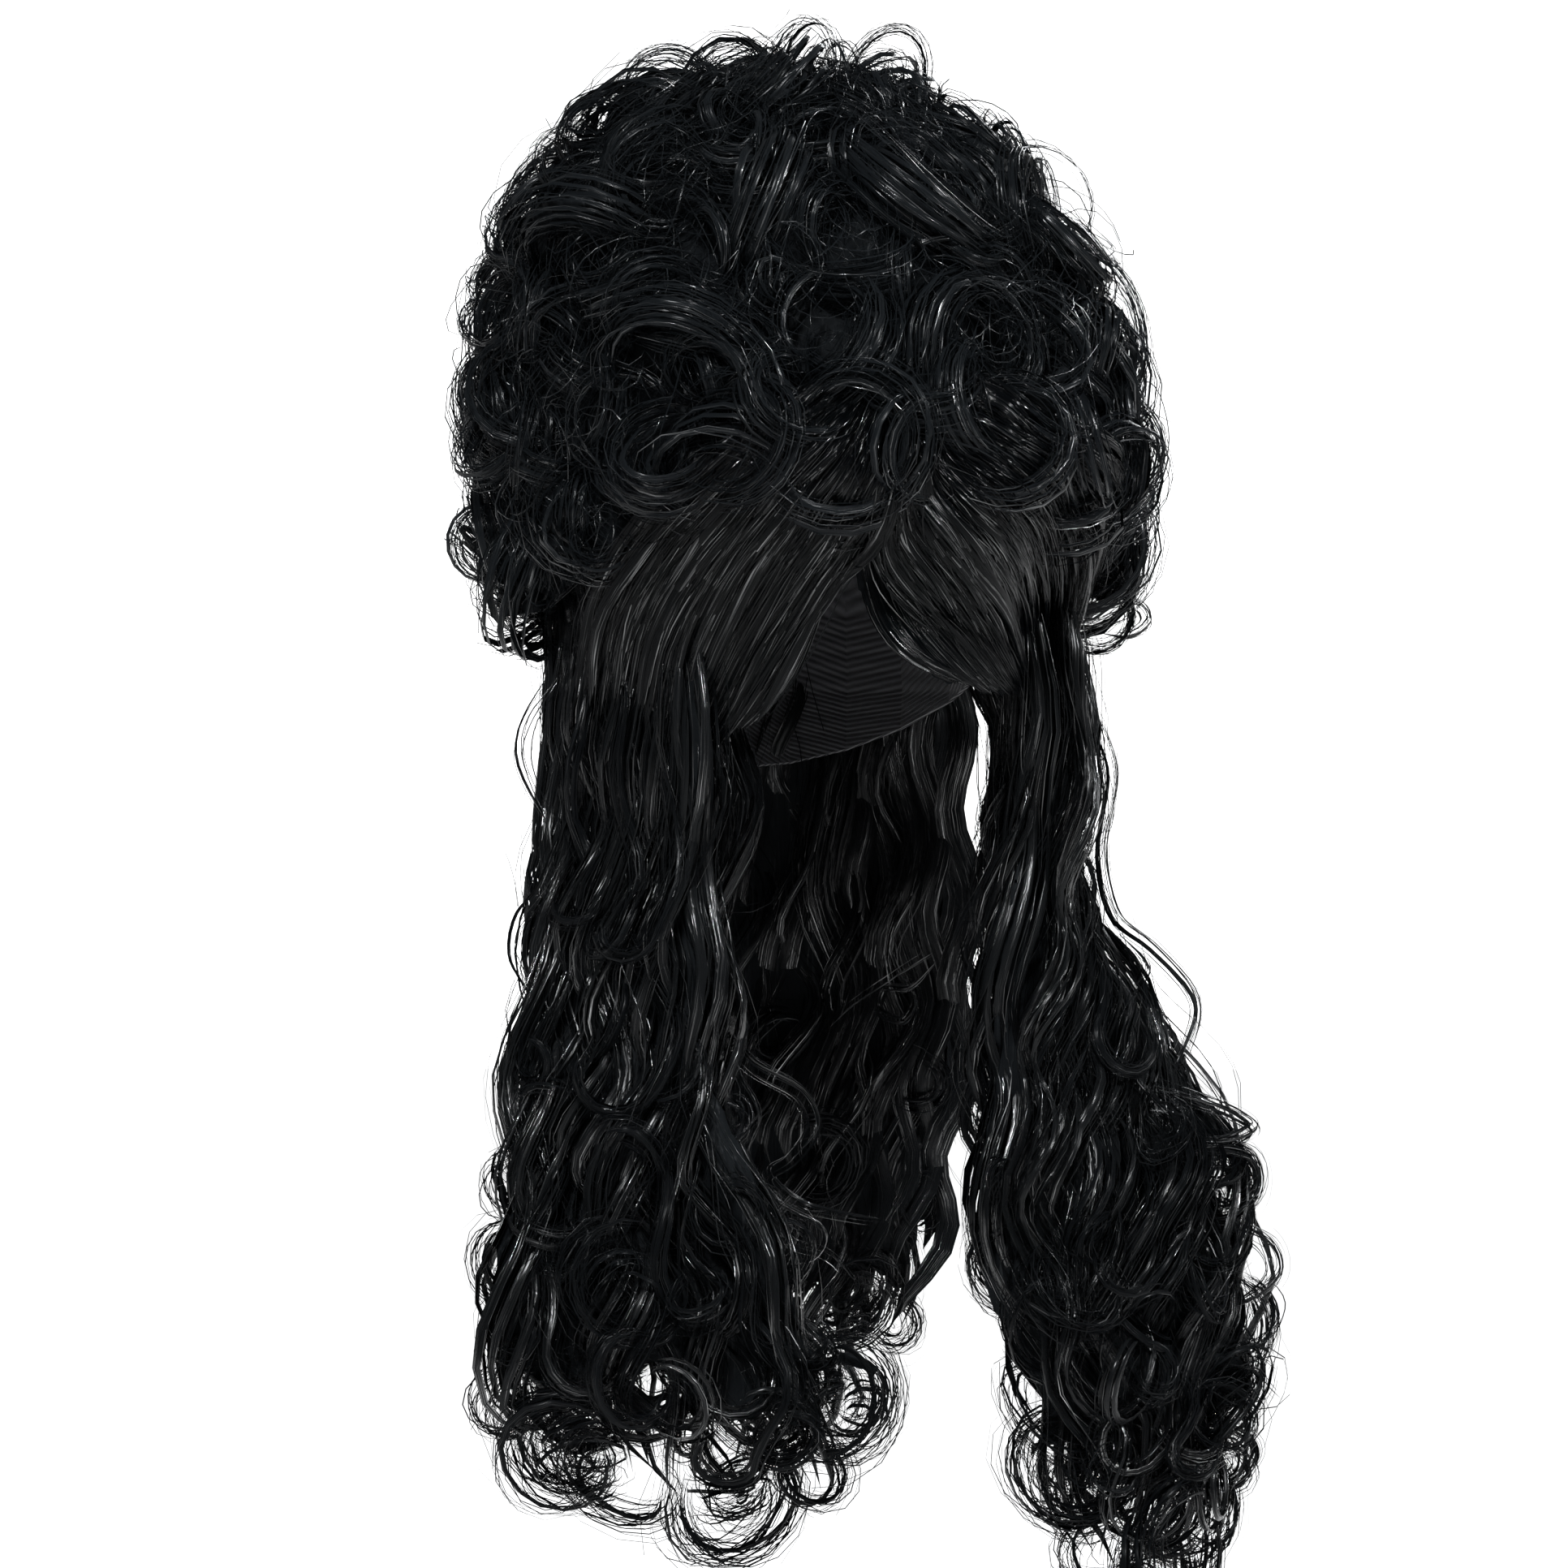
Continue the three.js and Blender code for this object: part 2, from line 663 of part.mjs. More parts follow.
// Hanging hair stays in its space, off the cap and off the pieces that lie before it
function hung(hair, neighbours) {
  const shaped = hair.intersect(hangingSpace(pieceGap)).subtract(headForm(capReach));
  return neighbours.reduce((rest, neighbour) => rest.subtract(neighbour), shaped);
}

const hair = new THREE.MeshStandardMaterial({ color: 0x0d0f13, roughness: 0.4, metalness: 0 });
const net = new THREE.MeshStandardMaterial({ color: 0x17181c, roughness: 0.85, metalness: 0 });

const longFringe = hung(fringe(longFringeLocks), []);
const shortFringe = hung(fringe(shortFringeLocks), [fringe(longFringeLocks, pieceGap)]);
const fringes = [fringe(longFringeLocks, pieceGap), fringe(shortFringeLocks, pieceGap)];
const sideRight = hung(fall(rightFall), fringes);
const sideLeft = hung(fall(leftFall), [...fringes, fall(rightFall, pieceGap)]);
const back = hung(fall(backFall), [fall(rightFall, pieceGap), fall(leftFall, pieceGap)]);

const wig = new THREE.Group();
wig.add(meshOf('wig_cap', cap(), net));
wig.add(meshOf('beehive', beehive(), hair));
wig.add(meshOf('fringe_long', longFringe, hair));
wig.add(meshOf('fringe_short', shortFringe, hair));
wig.add(meshOf('fall_right', sideRight, hair));
wig.add(meshOf('fall_left', sideLeft, hair));
wig.add(meshOf('fall_back', back, hair));

export default wig;
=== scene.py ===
"""Beehive wig: strands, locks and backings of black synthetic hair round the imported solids.

Lengths are in millimetres as in the part's source, and become metres where a mesh is made.
The wig faces -Y, +X is the wearer's left, and the origin is the inside top of the cap.
"""

import math

import bmesh
import bpy
import numpy as np
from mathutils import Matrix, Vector


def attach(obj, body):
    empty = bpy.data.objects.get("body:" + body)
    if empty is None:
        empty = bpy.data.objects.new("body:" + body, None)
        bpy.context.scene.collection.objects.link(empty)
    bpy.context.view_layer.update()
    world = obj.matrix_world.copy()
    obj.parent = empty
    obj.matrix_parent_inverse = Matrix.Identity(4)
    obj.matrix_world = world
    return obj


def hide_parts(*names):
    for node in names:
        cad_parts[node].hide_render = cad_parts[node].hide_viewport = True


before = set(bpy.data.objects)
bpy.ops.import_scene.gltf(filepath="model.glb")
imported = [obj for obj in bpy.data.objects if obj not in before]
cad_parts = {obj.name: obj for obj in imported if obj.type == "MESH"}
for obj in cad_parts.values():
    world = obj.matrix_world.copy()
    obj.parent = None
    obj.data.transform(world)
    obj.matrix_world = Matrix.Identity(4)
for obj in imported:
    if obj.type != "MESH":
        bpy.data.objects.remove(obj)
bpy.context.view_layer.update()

MM = 0.001
FULL_TURN = 2 * math.pi
UP = np.array([0.0, 0.0, 1.0])

# Head hollow and cap
HEAD_HALF_WIDTH = 78
HEAD_HALF_LENGTH = 98
HEAD_HALF_HEIGHT = 105
CAP_REACH = 2.3

# Roots of the hanging hair
ROOT_HALF_WIDTH = 103.3
ROOT_DROP = 32
ROOT_RISE = 6

# Mound of the beehive
MOUND_HALF_WIDTH = 118.3
MOUND_HALF_LENGTH = 128.3
MOUND_CENTRE_Y = 7
MOUND_HEIGHT = 231
SKIRT_DROP = 76
FRONT_LIFT = 44
BEEHIVE_LEAN = 24
TEASE_DEPTH = 5

# Curls
CURL_RADIUS = 25
CURL_BAND = 14
CURL_THICKNESS = 7
CURL_SPACING = 74
CURL_SINK = 9
CURL_ARC = math.radians(290)
CURL_PITCH = 0.5
CURL_TIGHTEN = 0.3

# Fringe, and the half widths of the strands and locks that are combed
FRINGE_THICKNESS = 5
FRINGE_ROOT_FORE = 22
FRINGE_ROOT_BEND = 48
COMBED_STRAND = 0.26
COMBED_LOCK = 2.2
FRINGE_POINTS = 14
SWEEP_POINTS = 18

# Falls
CHEST_FORE = 88
WAVE_LENGTH = 105
WAVE_HEIGHT = 9
RINGLET_RADIUS = 19
RINGLET_BAND = 10
RINGLET_THICKNESS = 6

# Strands: half width from which one is a lock with a ridge, the ridge's height as a share of
# that half width, the widest ones as shares of what is asked for, and the shortest locks and
# strands of a clump as shares of its length
LOCK_FROM = 0.5
LOCK_RIDGE = 0.35
LOCK_WIDEST = 1.4
STRAND_WIDEST = 1.3
LOCK_END = 0.86
STRAND_END = 0.7

# Streaks move by this much over the tones and from each strand to the next
TONE_SHIFT = 40
STRAND_SHIFT = 3.7

# Courses: millimetres and radians of bend that are allowed between neighbouring points
FALL_STEP = (30, math.radians(32))
SHEET_STEP = (26, math.radians(34))
STRAY_STEP = (14, math.radians(20))

# Dress of each kind of curl: flat locks and their half width, single strands and their half
# width, and points along each
MAIN_DRESS = (9, 1.3, 40, 0.25, 15)
FRONT_DRESS = (8, 1.2, 56, 0.24, 15)
FILL_DRESS = (5, 1.1, 30, 0.23, 13)
SIDE_DRESS = (6, 1.2, 32, 0.24, 13)
WISP_DRESS = (0, 0, 4, 0.14, 12)
RINGLET_DRESS = (6, 1.0, 50, 0.24, 14)
SMALL_RINGLET_DRESS = (3, 0.9, 25, 0.22, 12)
TIP_DRESS = (4, 0.9, 29, 0.22, 13)

# Dress of each kind of clump: half width and half depth at its top, middle and tip, then flat
# locks and their half width, single strands and their half width
PART_CLUMP = (((17, 12), (15, 13), (9, 8)), 13, 2.1, 40, 0.25)
LOOSE_CLUMP = (((9, 6), (8, 6), (5.5, 5)), 5, 1.4, 17, 0.24)
CHEST_CLUMP = (((2, 2), (6, 4), (3, 3)), 3, 1.3, 20, 0.22)
CHEST_HAIRS = (((3, 3), (5, 5), (3, 3)), 0, 0, 3, 0.15)

# Sheets of thin locks that close each fall: how many, hairs on each, points along them, and
# their half width, wave length and depth of wave in millimetres
SHEETS = 36
SHEET_HAIRS = 5
SHEET_POINTS = 34
SHEET_HAIR_WIDTH = 0.22
SHEET_WAVE = 74
SHEET_WAVE_DEPTH = 3.2

# Backings: share of a fall's height that they fill, and in metres the height of the waves at
# their lower end and how they follow one another across, along and between
FALL_KEEP = 0.83
RAGGED_END = 0.009
RAGGED_ACROSS = 0.011
RAGGED_DRIFT = 0.02
RAGGED_ALONG = 0.009

# Steps that spread places, turns and sizes evenly as an index counts up
PLACE_STEP = 0.618
ROUND_STEP = 0.755
SIZE_STEP = 0.57
TILT_STEP = 0.819
TURN_STEP = 0.671
TIP_STEP = 0.38
WAVE_STEP = 0.37

# Hair colours, and the streaks' pace across, along and between hairs for each millimetre, or
# each way through a backing for each metre
BLACK = (0.0056, 0.0066, 0.0075)
LONG_BLACK = (0.0045, 0.005, 0.0054)
# Painted shade: the tips and low curls of the falls are the same hair, coloured darker because they
# hang lower and get less light
SHADED_TIP_BLACK = (0.0036, 0.0041, 0.0046)
# Painted shade: the combed hair is the same black as the rest, coloured about five times darker so
# that it stays dark where it faces the key light
SHADED_COMBED_BLACK = (0.001, 0.0013, 0.0016)
FLOW = (1.7, 0.03, 0.6)
MASS_STREAKS = (420, 420, 160)
FALL_MASS_STREAKS = (620, 620, 40)

# Noise of the streaks: detail, and the values that are sharpened to 0 and 1
FINE_STREAKS = (2.0, 0.48, 0.72)
BROAD_STREAKS = (1.0, 0.4, 0.68)
BROAD_PACE = 0.24

# Hair between the streaks and on them: gloss between, and how much rougher and smoother
DULL_GLOSS = 0.03
ROUGHER = 0.05
SMOOTHER = 0.04

# Reliefs: strength, and distance in metres
HAIR_RELIEF = (0.6, 0.0004)
NET_RELIEF = (0.8, 0.0008)

# Studio, in metres and watts: place, size and power of each light
LIGHTS = {
    "key": ((-0.72, -1.08, 0.97), 0.27, 38),
    "fill": ((0.9, -1.02, 0.61), 0.27, 20),
    "rim_right": ((1.7, 1.5, 1.0), 0.7, 20),
}
LIGHT_AIM = (0, 0, -0.12)
LIGHT_COLOUR = (0.95, 0.975, 1.0)
SKY_COLOUR = (0.94, 0.97, 1.0)
SKY_STRENGTH = 0.13
FLOOR_HEIGHT = -0.9
FLOOR_SIZE = 16
SURROUND_RADIUS = 8

# Camera: the photograph is 1932 pixels square, and each is 0.34 mm at the camera's aim
AZIMUTH = math.radians(-20)
ELEVATION = math.radians(1.5)
CAMERA_DISTANCE = 2200
PIXEL = 0.34
PHOTO_SIZE = 1932
PHOTO_MIDDLE = 966
AIM_ASIDE = -11.6
AIM_HEIGHT = -143
RIGHT = np.array([math.cos(AZIMUTH), math.sin(AZIMUTH), 0.0])
LEVEL = np.array([math.sin(AZIMUTH), -math.cos(AZIMUTH), 0.0])
TOWARD = LEVEL * math.cos(ELEVATION) + UP * math.sin(ELEVATION)
CAMERA_UP = np.cross(TOWARD, RIGHT)

# Outline of the mound: rise is a share of its height, girth a share of its half width
MOUND_RISE = (0.0, 0.09, 0.2, 0.32, 0.44, 0.56, 0.68, 0.79, 0.89, 0.965, 1.0)
MOUND_GIRTH = (0.92, 1.0, 1.03, 1.04, 1.02, 0.97, 0.88, 0.75, 0.56, 0.32, 0.0)

# Curls that stand out at the edge of the beehive or show as swirls on its front:
# bearing in degrees from the front, rise, size, tilt and turn of the axis in degrees
STANDING_CURLS = (
    (-110, 0.92, 1.1, 84, 150),
    (-112, 0.76, 1.1, 84, 10),
    (-108, 0.52, 0.9, 80, 170),
    (-112, 0.3, 0.85, 84, 5),
    (-108, 0.12, 0.85, 80, 160),
    (68, 0.84, 0.8, 80, 20),
    (70, 0.5, 1.1, 84, 175),
    (72, 0.31, 0.95, 82, 0),
    (68, 0.14, 1.05, 84, 170),
    (-14, 0.28, 1.2, 22, 90),
    (-36, 0.38, 1.0, 28, 200),
    (10, 0.46, 1.0, 30, 320),
)

# Outer loops, in degrees: how far they spread from their bearings, the tilt of their axes and
# the arc that they turn through
LOOP_SCATTER = 16
LOOP_TILT = 86
LOOP_ARC = 325

# See-through loops outside the beehive's edge: bearing in degrees, rise, radius and lift over
# the mound in millimetres, height as a share of the radius, turn in degrees, strands
OUTER_LOOPS = (
    (-110, 0.94, 19, 12, 1.0, 0, 26),
    (-108, 0.98, 12, 14, 1.1, 20, 12),
    (-112, 0.85, 15, 14, 1.1, 10, 24),
    (-108, 0.75, 17, 12, 1.3, -10, 26),
    (-114, 0.66, 13, 13, 1.0, 15, 18),
    (-110, 0.53, 12, 16, 0.8, 0, 22),
    (-106, 0.42, 12, 13, 1.2, 10, 20),
    (-112, 0.31, 11, 10, 1.0, -15, 22),
    (-110, 0.15, 13, 17, 1.1, 0, 20),
    (-108, 0.04, 13, 8, 1.0, 10, 20),
    (70, 0.78, 14, 10, 1.2, 0, 20),
    (68, 0.74, 21, 16, 1.2, 10, 6),
    (70, 0.51, 20, 14, 1.6, -5, 22),
    (74, 0.4, 10, 20, 1.0, 10, 12),
    (68, 0.31, 16, 16, 1.2, 0, 20),
    (70, 0.17, 18, 14, 1.7, 5, 22),
    (70, 0.03, 15, 14, 1.0, -10, 18),
    (66, 0.62, 13, 10, 1.0, 5, 16),
    (62, 0.96, 24, 12, 0.7, 10, 16),
    (40, 0.99, 18, 12, 0.8, -5, 12),
    (-110, 0.8, 15, 15, 1.0, 10, 20),
    (-112, 0.6, 13, 14, 1.1, -10, 18),
    (20, 0.97, 13, 10, 1.0, 0, 14),
    (160, 0.9, 16, 12, 1.0, 0, 20),
    (178, 0.66, 18, 12, 1.2, 0, 20),
    (170, 0.4, 17, 12, 1.1, 0, 20),
    (-172, 0.2, 16, 12, 1.2, 0, 20),
)

# Sections of the falls: drop, out, fore, turn in degrees, wide, deep, wrap
RIGHT_FALL_SECTIONS = (
    (0.0, 0.86, 0.02, 96, 0.66, 0.7, 0.22),
    (0.12, 0.86, 0.14, 102, 0.68, 0.72, 0.18),
    (0.29, 0.82, 0.3, 110, 0.68, 0.74, 0.1),
    (0.41, 0.9, 0.36, 120, 0.54, 0.84, 0.04),
    (0.53, 0.93, 0.5, 134, 0.56, 0.9, 0.0),
    (0.66, 1.0, 0.7, 146, 0.6, 1.0, 0.0),
    (0.76, 0.98, 0.9, 156, 0.78, 1.0, 0.0),
    (0.87, 0.89, 1.0, 160, 0.94, 1.0, 0.0),
    (1.0, 0.72, 1.0, 162, 0.6, 0.7, 0.0),
)

LEFT_FALL_SECTIONS = (
    (0.0, 0.86, 0.0, 84, 0.74, 0.7, 0.22),
    (0.1, 0.9, 0.12, 80, 0.76, 0.72, 0.16),
    (0.2, 0.98, 0.22, 76, 0.76, 0.76, 0.1),
    (0.3, 0.91, 0.26, 72, 0.74, 0.84, 0.04),
    (0.39, 0.9, 0.3, 60, 0.74, 0.92, 0.0),
    (0.49, 0.98, 0.5, 36, 0.84, 0.96, 0.0),
    (0.6, 1.06, 0.72, 20, 0.98, 1.0, 0.0),
    (0.72, 1.08, 0.88, 16, 0.92, 1.0, 0.0),
    (0.84, 1.12, 0.94, 18, 0.66, 0.96, 0.0),
    (1.0, 1.14, 0.96, 20, 0.4, 0.6, 0.0),
)

BACK_FALL_SECTIONS = (
    (0.0, 0.0, -1.02, 0, 0.76, 0.7, 0.5),
    (0.12, 0.05, -1.12, 0, 0.82, 0.76, 0.56),
    (0.3, 0.07, -1.1, 0, 0.86, 0.8, 0.5),
    (0.48, 0.1, -1.06, 0, 0.9, 0.86, 0.38),
    (0.66, 0.1, -1.08, 0, 0.92, 0.96, 0.24),
    (0.84, 0.04, -1.12, 0, 0.92, 1.0, 0.1),
    (1.0, 0.0, -1.12, 0, 0.76, 0.6, 0.04),
)


def fall_form(side, outward, sections, length, half_width, half_depth, fore_size, ringlets):
    """A fall: its side of the wig, the way that it wraps round, its sections and its sizes."""
    return {
        "side": side,
        "outward": outward,
        "sections": np.array(sections),
        "length": length,
        "half_width": half_width,
        "half_depth": half_depth,
        "fore_size": fore_size,
        "ringlets": ringlets,
    }


RIGHT_FALL = fall_form(-1, 1, RIGHT_FALL_SECTIONS, 405, 90, 26, CHEST_FORE, 6)
LEFT_FALL = fall_form(1, -1, LEFT_FALL_SECTIONS, 448, 80, 26, CHEST_FORE, 6)
BACK_FALL = fall_form(1, 1, BACK_FALL_SECTIONS, 390, 112, 22, HEAD_HALF_LENGTH, 4)

# Millimetres that the locks below swing nearer to the camera and farther from it
STRAY_SWING = 6

# Locks that leave the mass: depth before the aim's plane at the start and end in millimetres,
# strands, half size in millimetres, and the pixels of the photograph that they pass
STRAY_LOCKS = (
    (-25, -15, 16, 3.5, ((1338, 870), (1368, 949), (1355, 1047), (1372, 1128), (1417, 1168),
                         (1462, 1217), (1471, 1253), (1453, 1306), (1435, 1346))),
    (-45, -45, 12, 3, ((1335, 765), (1365, 748), (1400, 746), (1412, 766), (1392, 783),
                       (1355, 778))),
    (0, 5, 16, 4, ((1400, 1330), (1470, 1352), (1520, 1372), (1542, 1391), (1506, 1407),
                   (1450, 1402))),
    (5, 5, 22, 5, ((1440, 1440), (1480, 1415), (1535, 1425), (1545, 1465), (1515, 1500),
                   (1470, 1500), (1440, 1480))),
    (5, 5, 12, 3, ((1470, 1475), (1490, 1440), (1520, 1445), (1515, 1480), (1485, 1490))),
    (5, 8, 14, 4, ((1470, 1500), (1524, 1513), (1562, 1535), (1569, 1570), (1530, 1602),
                   (1480, 1600))),
    (5, 8, 9, 3, ((1500, 1560), (1550, 1600), (1562, 1650), (1552, 1690), (1578, 1722))),
    (8, 8, 16, 3, ((1440, 1765), (1490, 1752), (1535, 1768), (1546, 1795), (1515, 1829),
                   (1455, 1826))),
    (-20, -15, 10, 2.5, ((1370, 1150), (1400, 1176), (1412, 1195), (1400, 1215), (1380, 1235),
                         (1410, 1260), (1440, 1290))),
    (62, 62, 7, 4, ((700, 1020), (668, 1090), (640, 1130), (632, 1175), (648, 1215), (672, 1250))),
    (62, 62, 6, 4, ((690, 830), (655, 880), (645, 930), (662, 980), (690, 1030))),
    (72, 76, 9, 4, ((880, 1250), (925, 1310), (985, 1345), (1003, 1390), (975, 1430),
                    (950, 1450), (990, 1485), (1050, 1500), (1092, 1505))),
    (74, 78, 7, 3, ((890, 1300), (930, 1370), (915, 1420), (950, 1480), (1010, 1515),
                    (1000, 1550), (950, 1555))),
    (74, 78, 7, 3, ((900, 1400), (940, 1480), (975, 1530), (1020, 1545), (1060, 1590))),
    (-70, -60, 10, 3, ((1150, 1180), (1120, 1212), (1085, 1215), (1080, 1245), (1110, 1258),
                       (1126, 1235), (1118, 1212))),
    (-66, -60, 6, 2, ((1150, 1170), (1100, 1200), (1050, 1235), (1011, 1272))),
)

# Waves of the combed hair: how many, their height off the mound and their sideways swing
SWEEP_WAVES = 1.5
SWEEP_WAVE_HEIGHT = 4.4
SWEEP_SWING = 1.5

# Hair combed from the beehive's front: each row is a course of places (x, y, z) in millimetres,
# from the mound over its lower edge to the forehead or the temple
LONG_SWEEP = (
    ((-15, -124, 2), (-19, -136, -22), (-19, -128, -44), (-8, -115, -61), (10, -104, -76),
     (36, -97, -97)),
    ((-10, -125, 6), (-8, -138, -18), (2, -132, -37), (19, -117, -55), (42, -94, -74),
     (66, -71, -98)),
    ((-4, -125, 10), (6, -139, -12), (21, -134, -29), (42, -115, -46), (63, -84, -66),
     (78, -50, -94)),
    ((4, -125, 13), (20, -137, -6), (40, -130, -20), (62, -110, -36), (80, -76, -56),
     (88, -38, -86)),
    ((14, -123, 16), (34, -134, 0), (58, -123, -14), (80, -101, -28), (94, -73, -48),
     (98, -44, -80)),
)
SHORT_SWEEP = (
    ((-15, -124, 2), (-19, -136, -22), (-23, -127, -44), (-33, -110, -62), (-46, -92, -86),
     (-60, -78, -116)),
    ((-20, -124, 6), (-30, -135, -18), (-40, -126, -38), (-51, -105, -58), (-62, -80, -88),
     (-71, -60, -126)),
    ((-26, -123, 10), (-44, -131, -12), (-60, -118, -32), (-71, -94, -53), (-79, -67, -88),
     (-84, -45, -136)),
)
RIGHT_TEMPLE_SWEEP = (
    ((-26, -123, 10), (-44, -131, -12), (-60, -118, -32), (-72, -95, -52), (-84, -72, -82),
     (-88, -58, -118)),
    ((-33, -121, 14), (-57, -124, -8), (-76, -106, -28), (-88, -80, -48), (-98, -58, -76),
     (-100, -46, -112)),
    ((-42, -118, 18), (-70, -117, -4), (-93, -93, -24), (-105, -65, -44), (-113, -41, -70),
     (-112, -26, -108)),
)
LEFT_TEMPLE_SWEEP = (
    ((14, -123, 16), (34, -134, 2), (58, -123, -12), (80, -101, -26), (94, -75, -46),
     (96, -48, -84)),
    ((24, -121, 19), (48, -129, 5), (74, -112, -8), (93, -86, -23), (104, -58, -45),
     (104, -34, -86)),
    ((34, -118, 22), (62, -122, 8), (89, -99, -5), (107, -70, -20), (115, -42, -44),
     (112, -18, -88)),
)

# Curls that lie over the roots of the combed hair: bearing in degrees, rise, radius and lift in
# millimetres, tilt and turn in degrees
FRONT_CURLS = (
    (8, 0.36, 19, 15, 30, 0),
    (-12, 0.32, 25, 12, 24, 200),
    (-2, 0.29, 20, 14, 20, 320),
    (14, 0.31, 24, 14, 26, 150),
    (24, 0.35, 18, 12, 30, 80),
    (34, 0.3, 22, 12, 30, 20),
    (-22, 0.36, 19, 12, 35, 40),
    (-30, 0.31, 23, 11, 24, 150),
    (-44, 0.28, 20, 11, 35, 60),
    (48, 0.27, 19, 11, 35, 200),
    (0, 0.4, 18, 12, 40, 100),
)

# Locks of the fringe: root_x, mid_x and tip_x as shares of the head's half width, mid_drop and
# tip_drop as shares of its half height
LONG_FRINGE_LOCKS = np.array(
    (
        (-0.2, -0.1, 0.3, 0.42, 0.62),
        (-0.16, -0.04, 0.36, 0.42, 0.64),
        (0.04, 0.26, 0.72, 0.42, 0.7),
        (0.24, 0.52, 0.9, 0.34, 0.7),
        (0.44, 0.72, 0.97, 0.26, 0.56),
        (0.6, 0.84, 0.98, 0.16, 0.42),
    )
)
SHORT_FRINGE_LOCKS = np.array(
    (
        (-0.34, -0.42, -0.72, 0.38, 0.76),
        (-0.38, -0.48, -0.78, 0.4, 0.82),
        (-0.48, -0.62, -0.88, 0.42, 0.96),
        (-0.6, -0.76, -0.96, 0.34, 0.9),
        (-0.7, -0.88, -0.98, 0.2, 0.6),
    )
)


def unit(vectors):
    """Vectors of any array shape made one long."""
    length = np.linalg.norm(vectors, axis=-1, keepdims=True)
    return vectors / np.maximum(length, 1e-9)


def spread(index, step):
    """Share from 0 to 1 that spreads evenly as the index counts up."""
    return (index * step) % 1


# Meshes from strands


class Strands:
    """Gathers bundles of strands and makes one joined mesh of them."""

    def __init__(self):
        self.points = []
        self.triangles = []
        self.flows = []
        self.count = 0

    def add(self, paths, across, half_width, half_thickness, tone):
        """Strands along paths (strands, points, 3), pointed at both ends.

        across is each strand's wide direction at its root, half_width and half_thickness are
        numbers or one value a strand. A thin strand is a flat strip. A lock over a millimetre
        wide has a ridge along its middle, on the side that its course crossed with across
        points to. tone runs from 0 to 1 and moves a strand to its own streaks.
        """
        paths = np.asarray(paths, float)
        strands, steps = paths.shape[:2]
        half_width, half_thickness, tone = (
            np.broadcast_to(np.asarray(value, float), (strands,))
            for value in (half_width, half_thickness, tone)
        )
        is_lock = np.mean(half_width) > LOCK_FROM
        aside = np.array((-1.0, 0.0, 1.0) if is_lock else (-1.0, 1.0))
        raised = np.array((0.0, 1.0, 0.0) if is_lock else (0.0, 0.0))
        along = unit(np.gradient(paths, axis=1))
        wide = carried(np.broadcast_to(across, (strands, 3)), along)
        thick = np.cross(along, wide)

        share = np.linspace(0, 1, steps)[1:-1]
        fullness = np.sqrt(np.clip(1 - np.abs(2 * share - 1) ** 5, 0.12, 1))
        wide_part = wide[:, 1:-1, None, :] * aside[:, None]
        thick_part = thick[:, 1:-1, None, :] * raised[:, None]
        width_scale = (half_width[:, None] * fullness)[:, :, None, None]
        thick_scale = (half_thickness[:, None] * fullness)[:, :, None, None]
        rings = paths[:, 1:-1, None, :] + wide_part * width_scale + thick_part * thick_scale
        rings = rings.reshape(strands, -1, 3)
        block = np.concatenate([paths[:, :1], rings, paths[:, -1:]], axis=1)
        self.points.append(block.reshape(-1, 3))
        self.add_triangles(strands, steps - 2, len(aside))
        self.add_flow(paths, share, aside, half_width, tone)

    def add_triangles(self, strands, rows, columns):
        """Corner numbers of the strands' triangles, counted on from the strands before them."""
        corners = rows * columns + 2
        starts = self.count + corners * np.arange(strands)
        pattern = strip_triangles(rows, columns)
        self.triangles.append((pattern[None] + starts[:, None, None]).reshape(-1, 3))
        self.count += strands * corners

    def add_flow(self, paths, share, aside, half_width, tone):
        """Where the strands' corners lie in the streaks: across, along and from hair to hair."""
        strands, steps = paths.shape[:2]
        length = np.linalg.norm(np.diff(paths, axis=1), axis=2).sum(axis=1)
        run = np.concatenate([[0], np.repeat(share, len(aside)), [1]])
        sideways = np.concatenate([[0], np.tile(aside, steps - 2), [0]])
        flow = np.empty((strands, len(run), 3))
        flow[..., 0] = sideways[None] * half_width[:, None] + TONE_SHIFT * tone[:, None]
        flow[..., 1] = run[None] * length[:, None]
        flow[..., 2] = np.arange(strands)[:, None] * STRAND_SHIFT
        self.flows.append(flow.reshape(-1, 3))

    def mesh(self, name):
        """One mesh of all the bundles, in metres, with a flow for the material's streaks."""
        points = np.concatenate(self.points) * MM
        triangles = np.concatenate(self.triangles)
        mesh = mesh_from(name, points, triangles)
        flow = mesh.attributes.new("flow", "FLOAT_VECTOR", "POINT")
        flow.data.foreach_set("vector", np.concatenate(self.flows).astype(np.float32).ravel())
        return mesh


def carried(start, along):
    """A direction square to each path, carried along it without twist."""
    steps = along.shape[1]
    wide = np.empty_like(along)
    current = start - (start * along[:, 0]).sum(-1, keepdims=True) * along[:, 0]
    wide[:, 0] = unit(current)
    for k in range(1, steps):
        last = wide[:, k - 1]
        wide[:, k] = unit(last - (last * along[:, k]).sum(-1, keepdims=True) * along[:, k])
    return wide


def strip_triangles(rows, columns):
    """Corner numbers of a strip: a point, rows of corners across it, and a point."""
    triangles = []
    last = rows * columns + 1
    top = 1 + (rows - 1) * columns
    for j in range(columns - 1):
        triangles.append((0, 2 + j, 1 + j))
        triangles.append((last, top + j, top + j + 1))
    for row in range(rows - 1):
        low = 1 + row * columns
        high = low + columns
        for j in range(columns - 1):
            triangles.append((low + j, low + j + 1, high + j + 1))
            triangles.append((low + j, high + j + 1, high + j))
    return np.array(triangles)


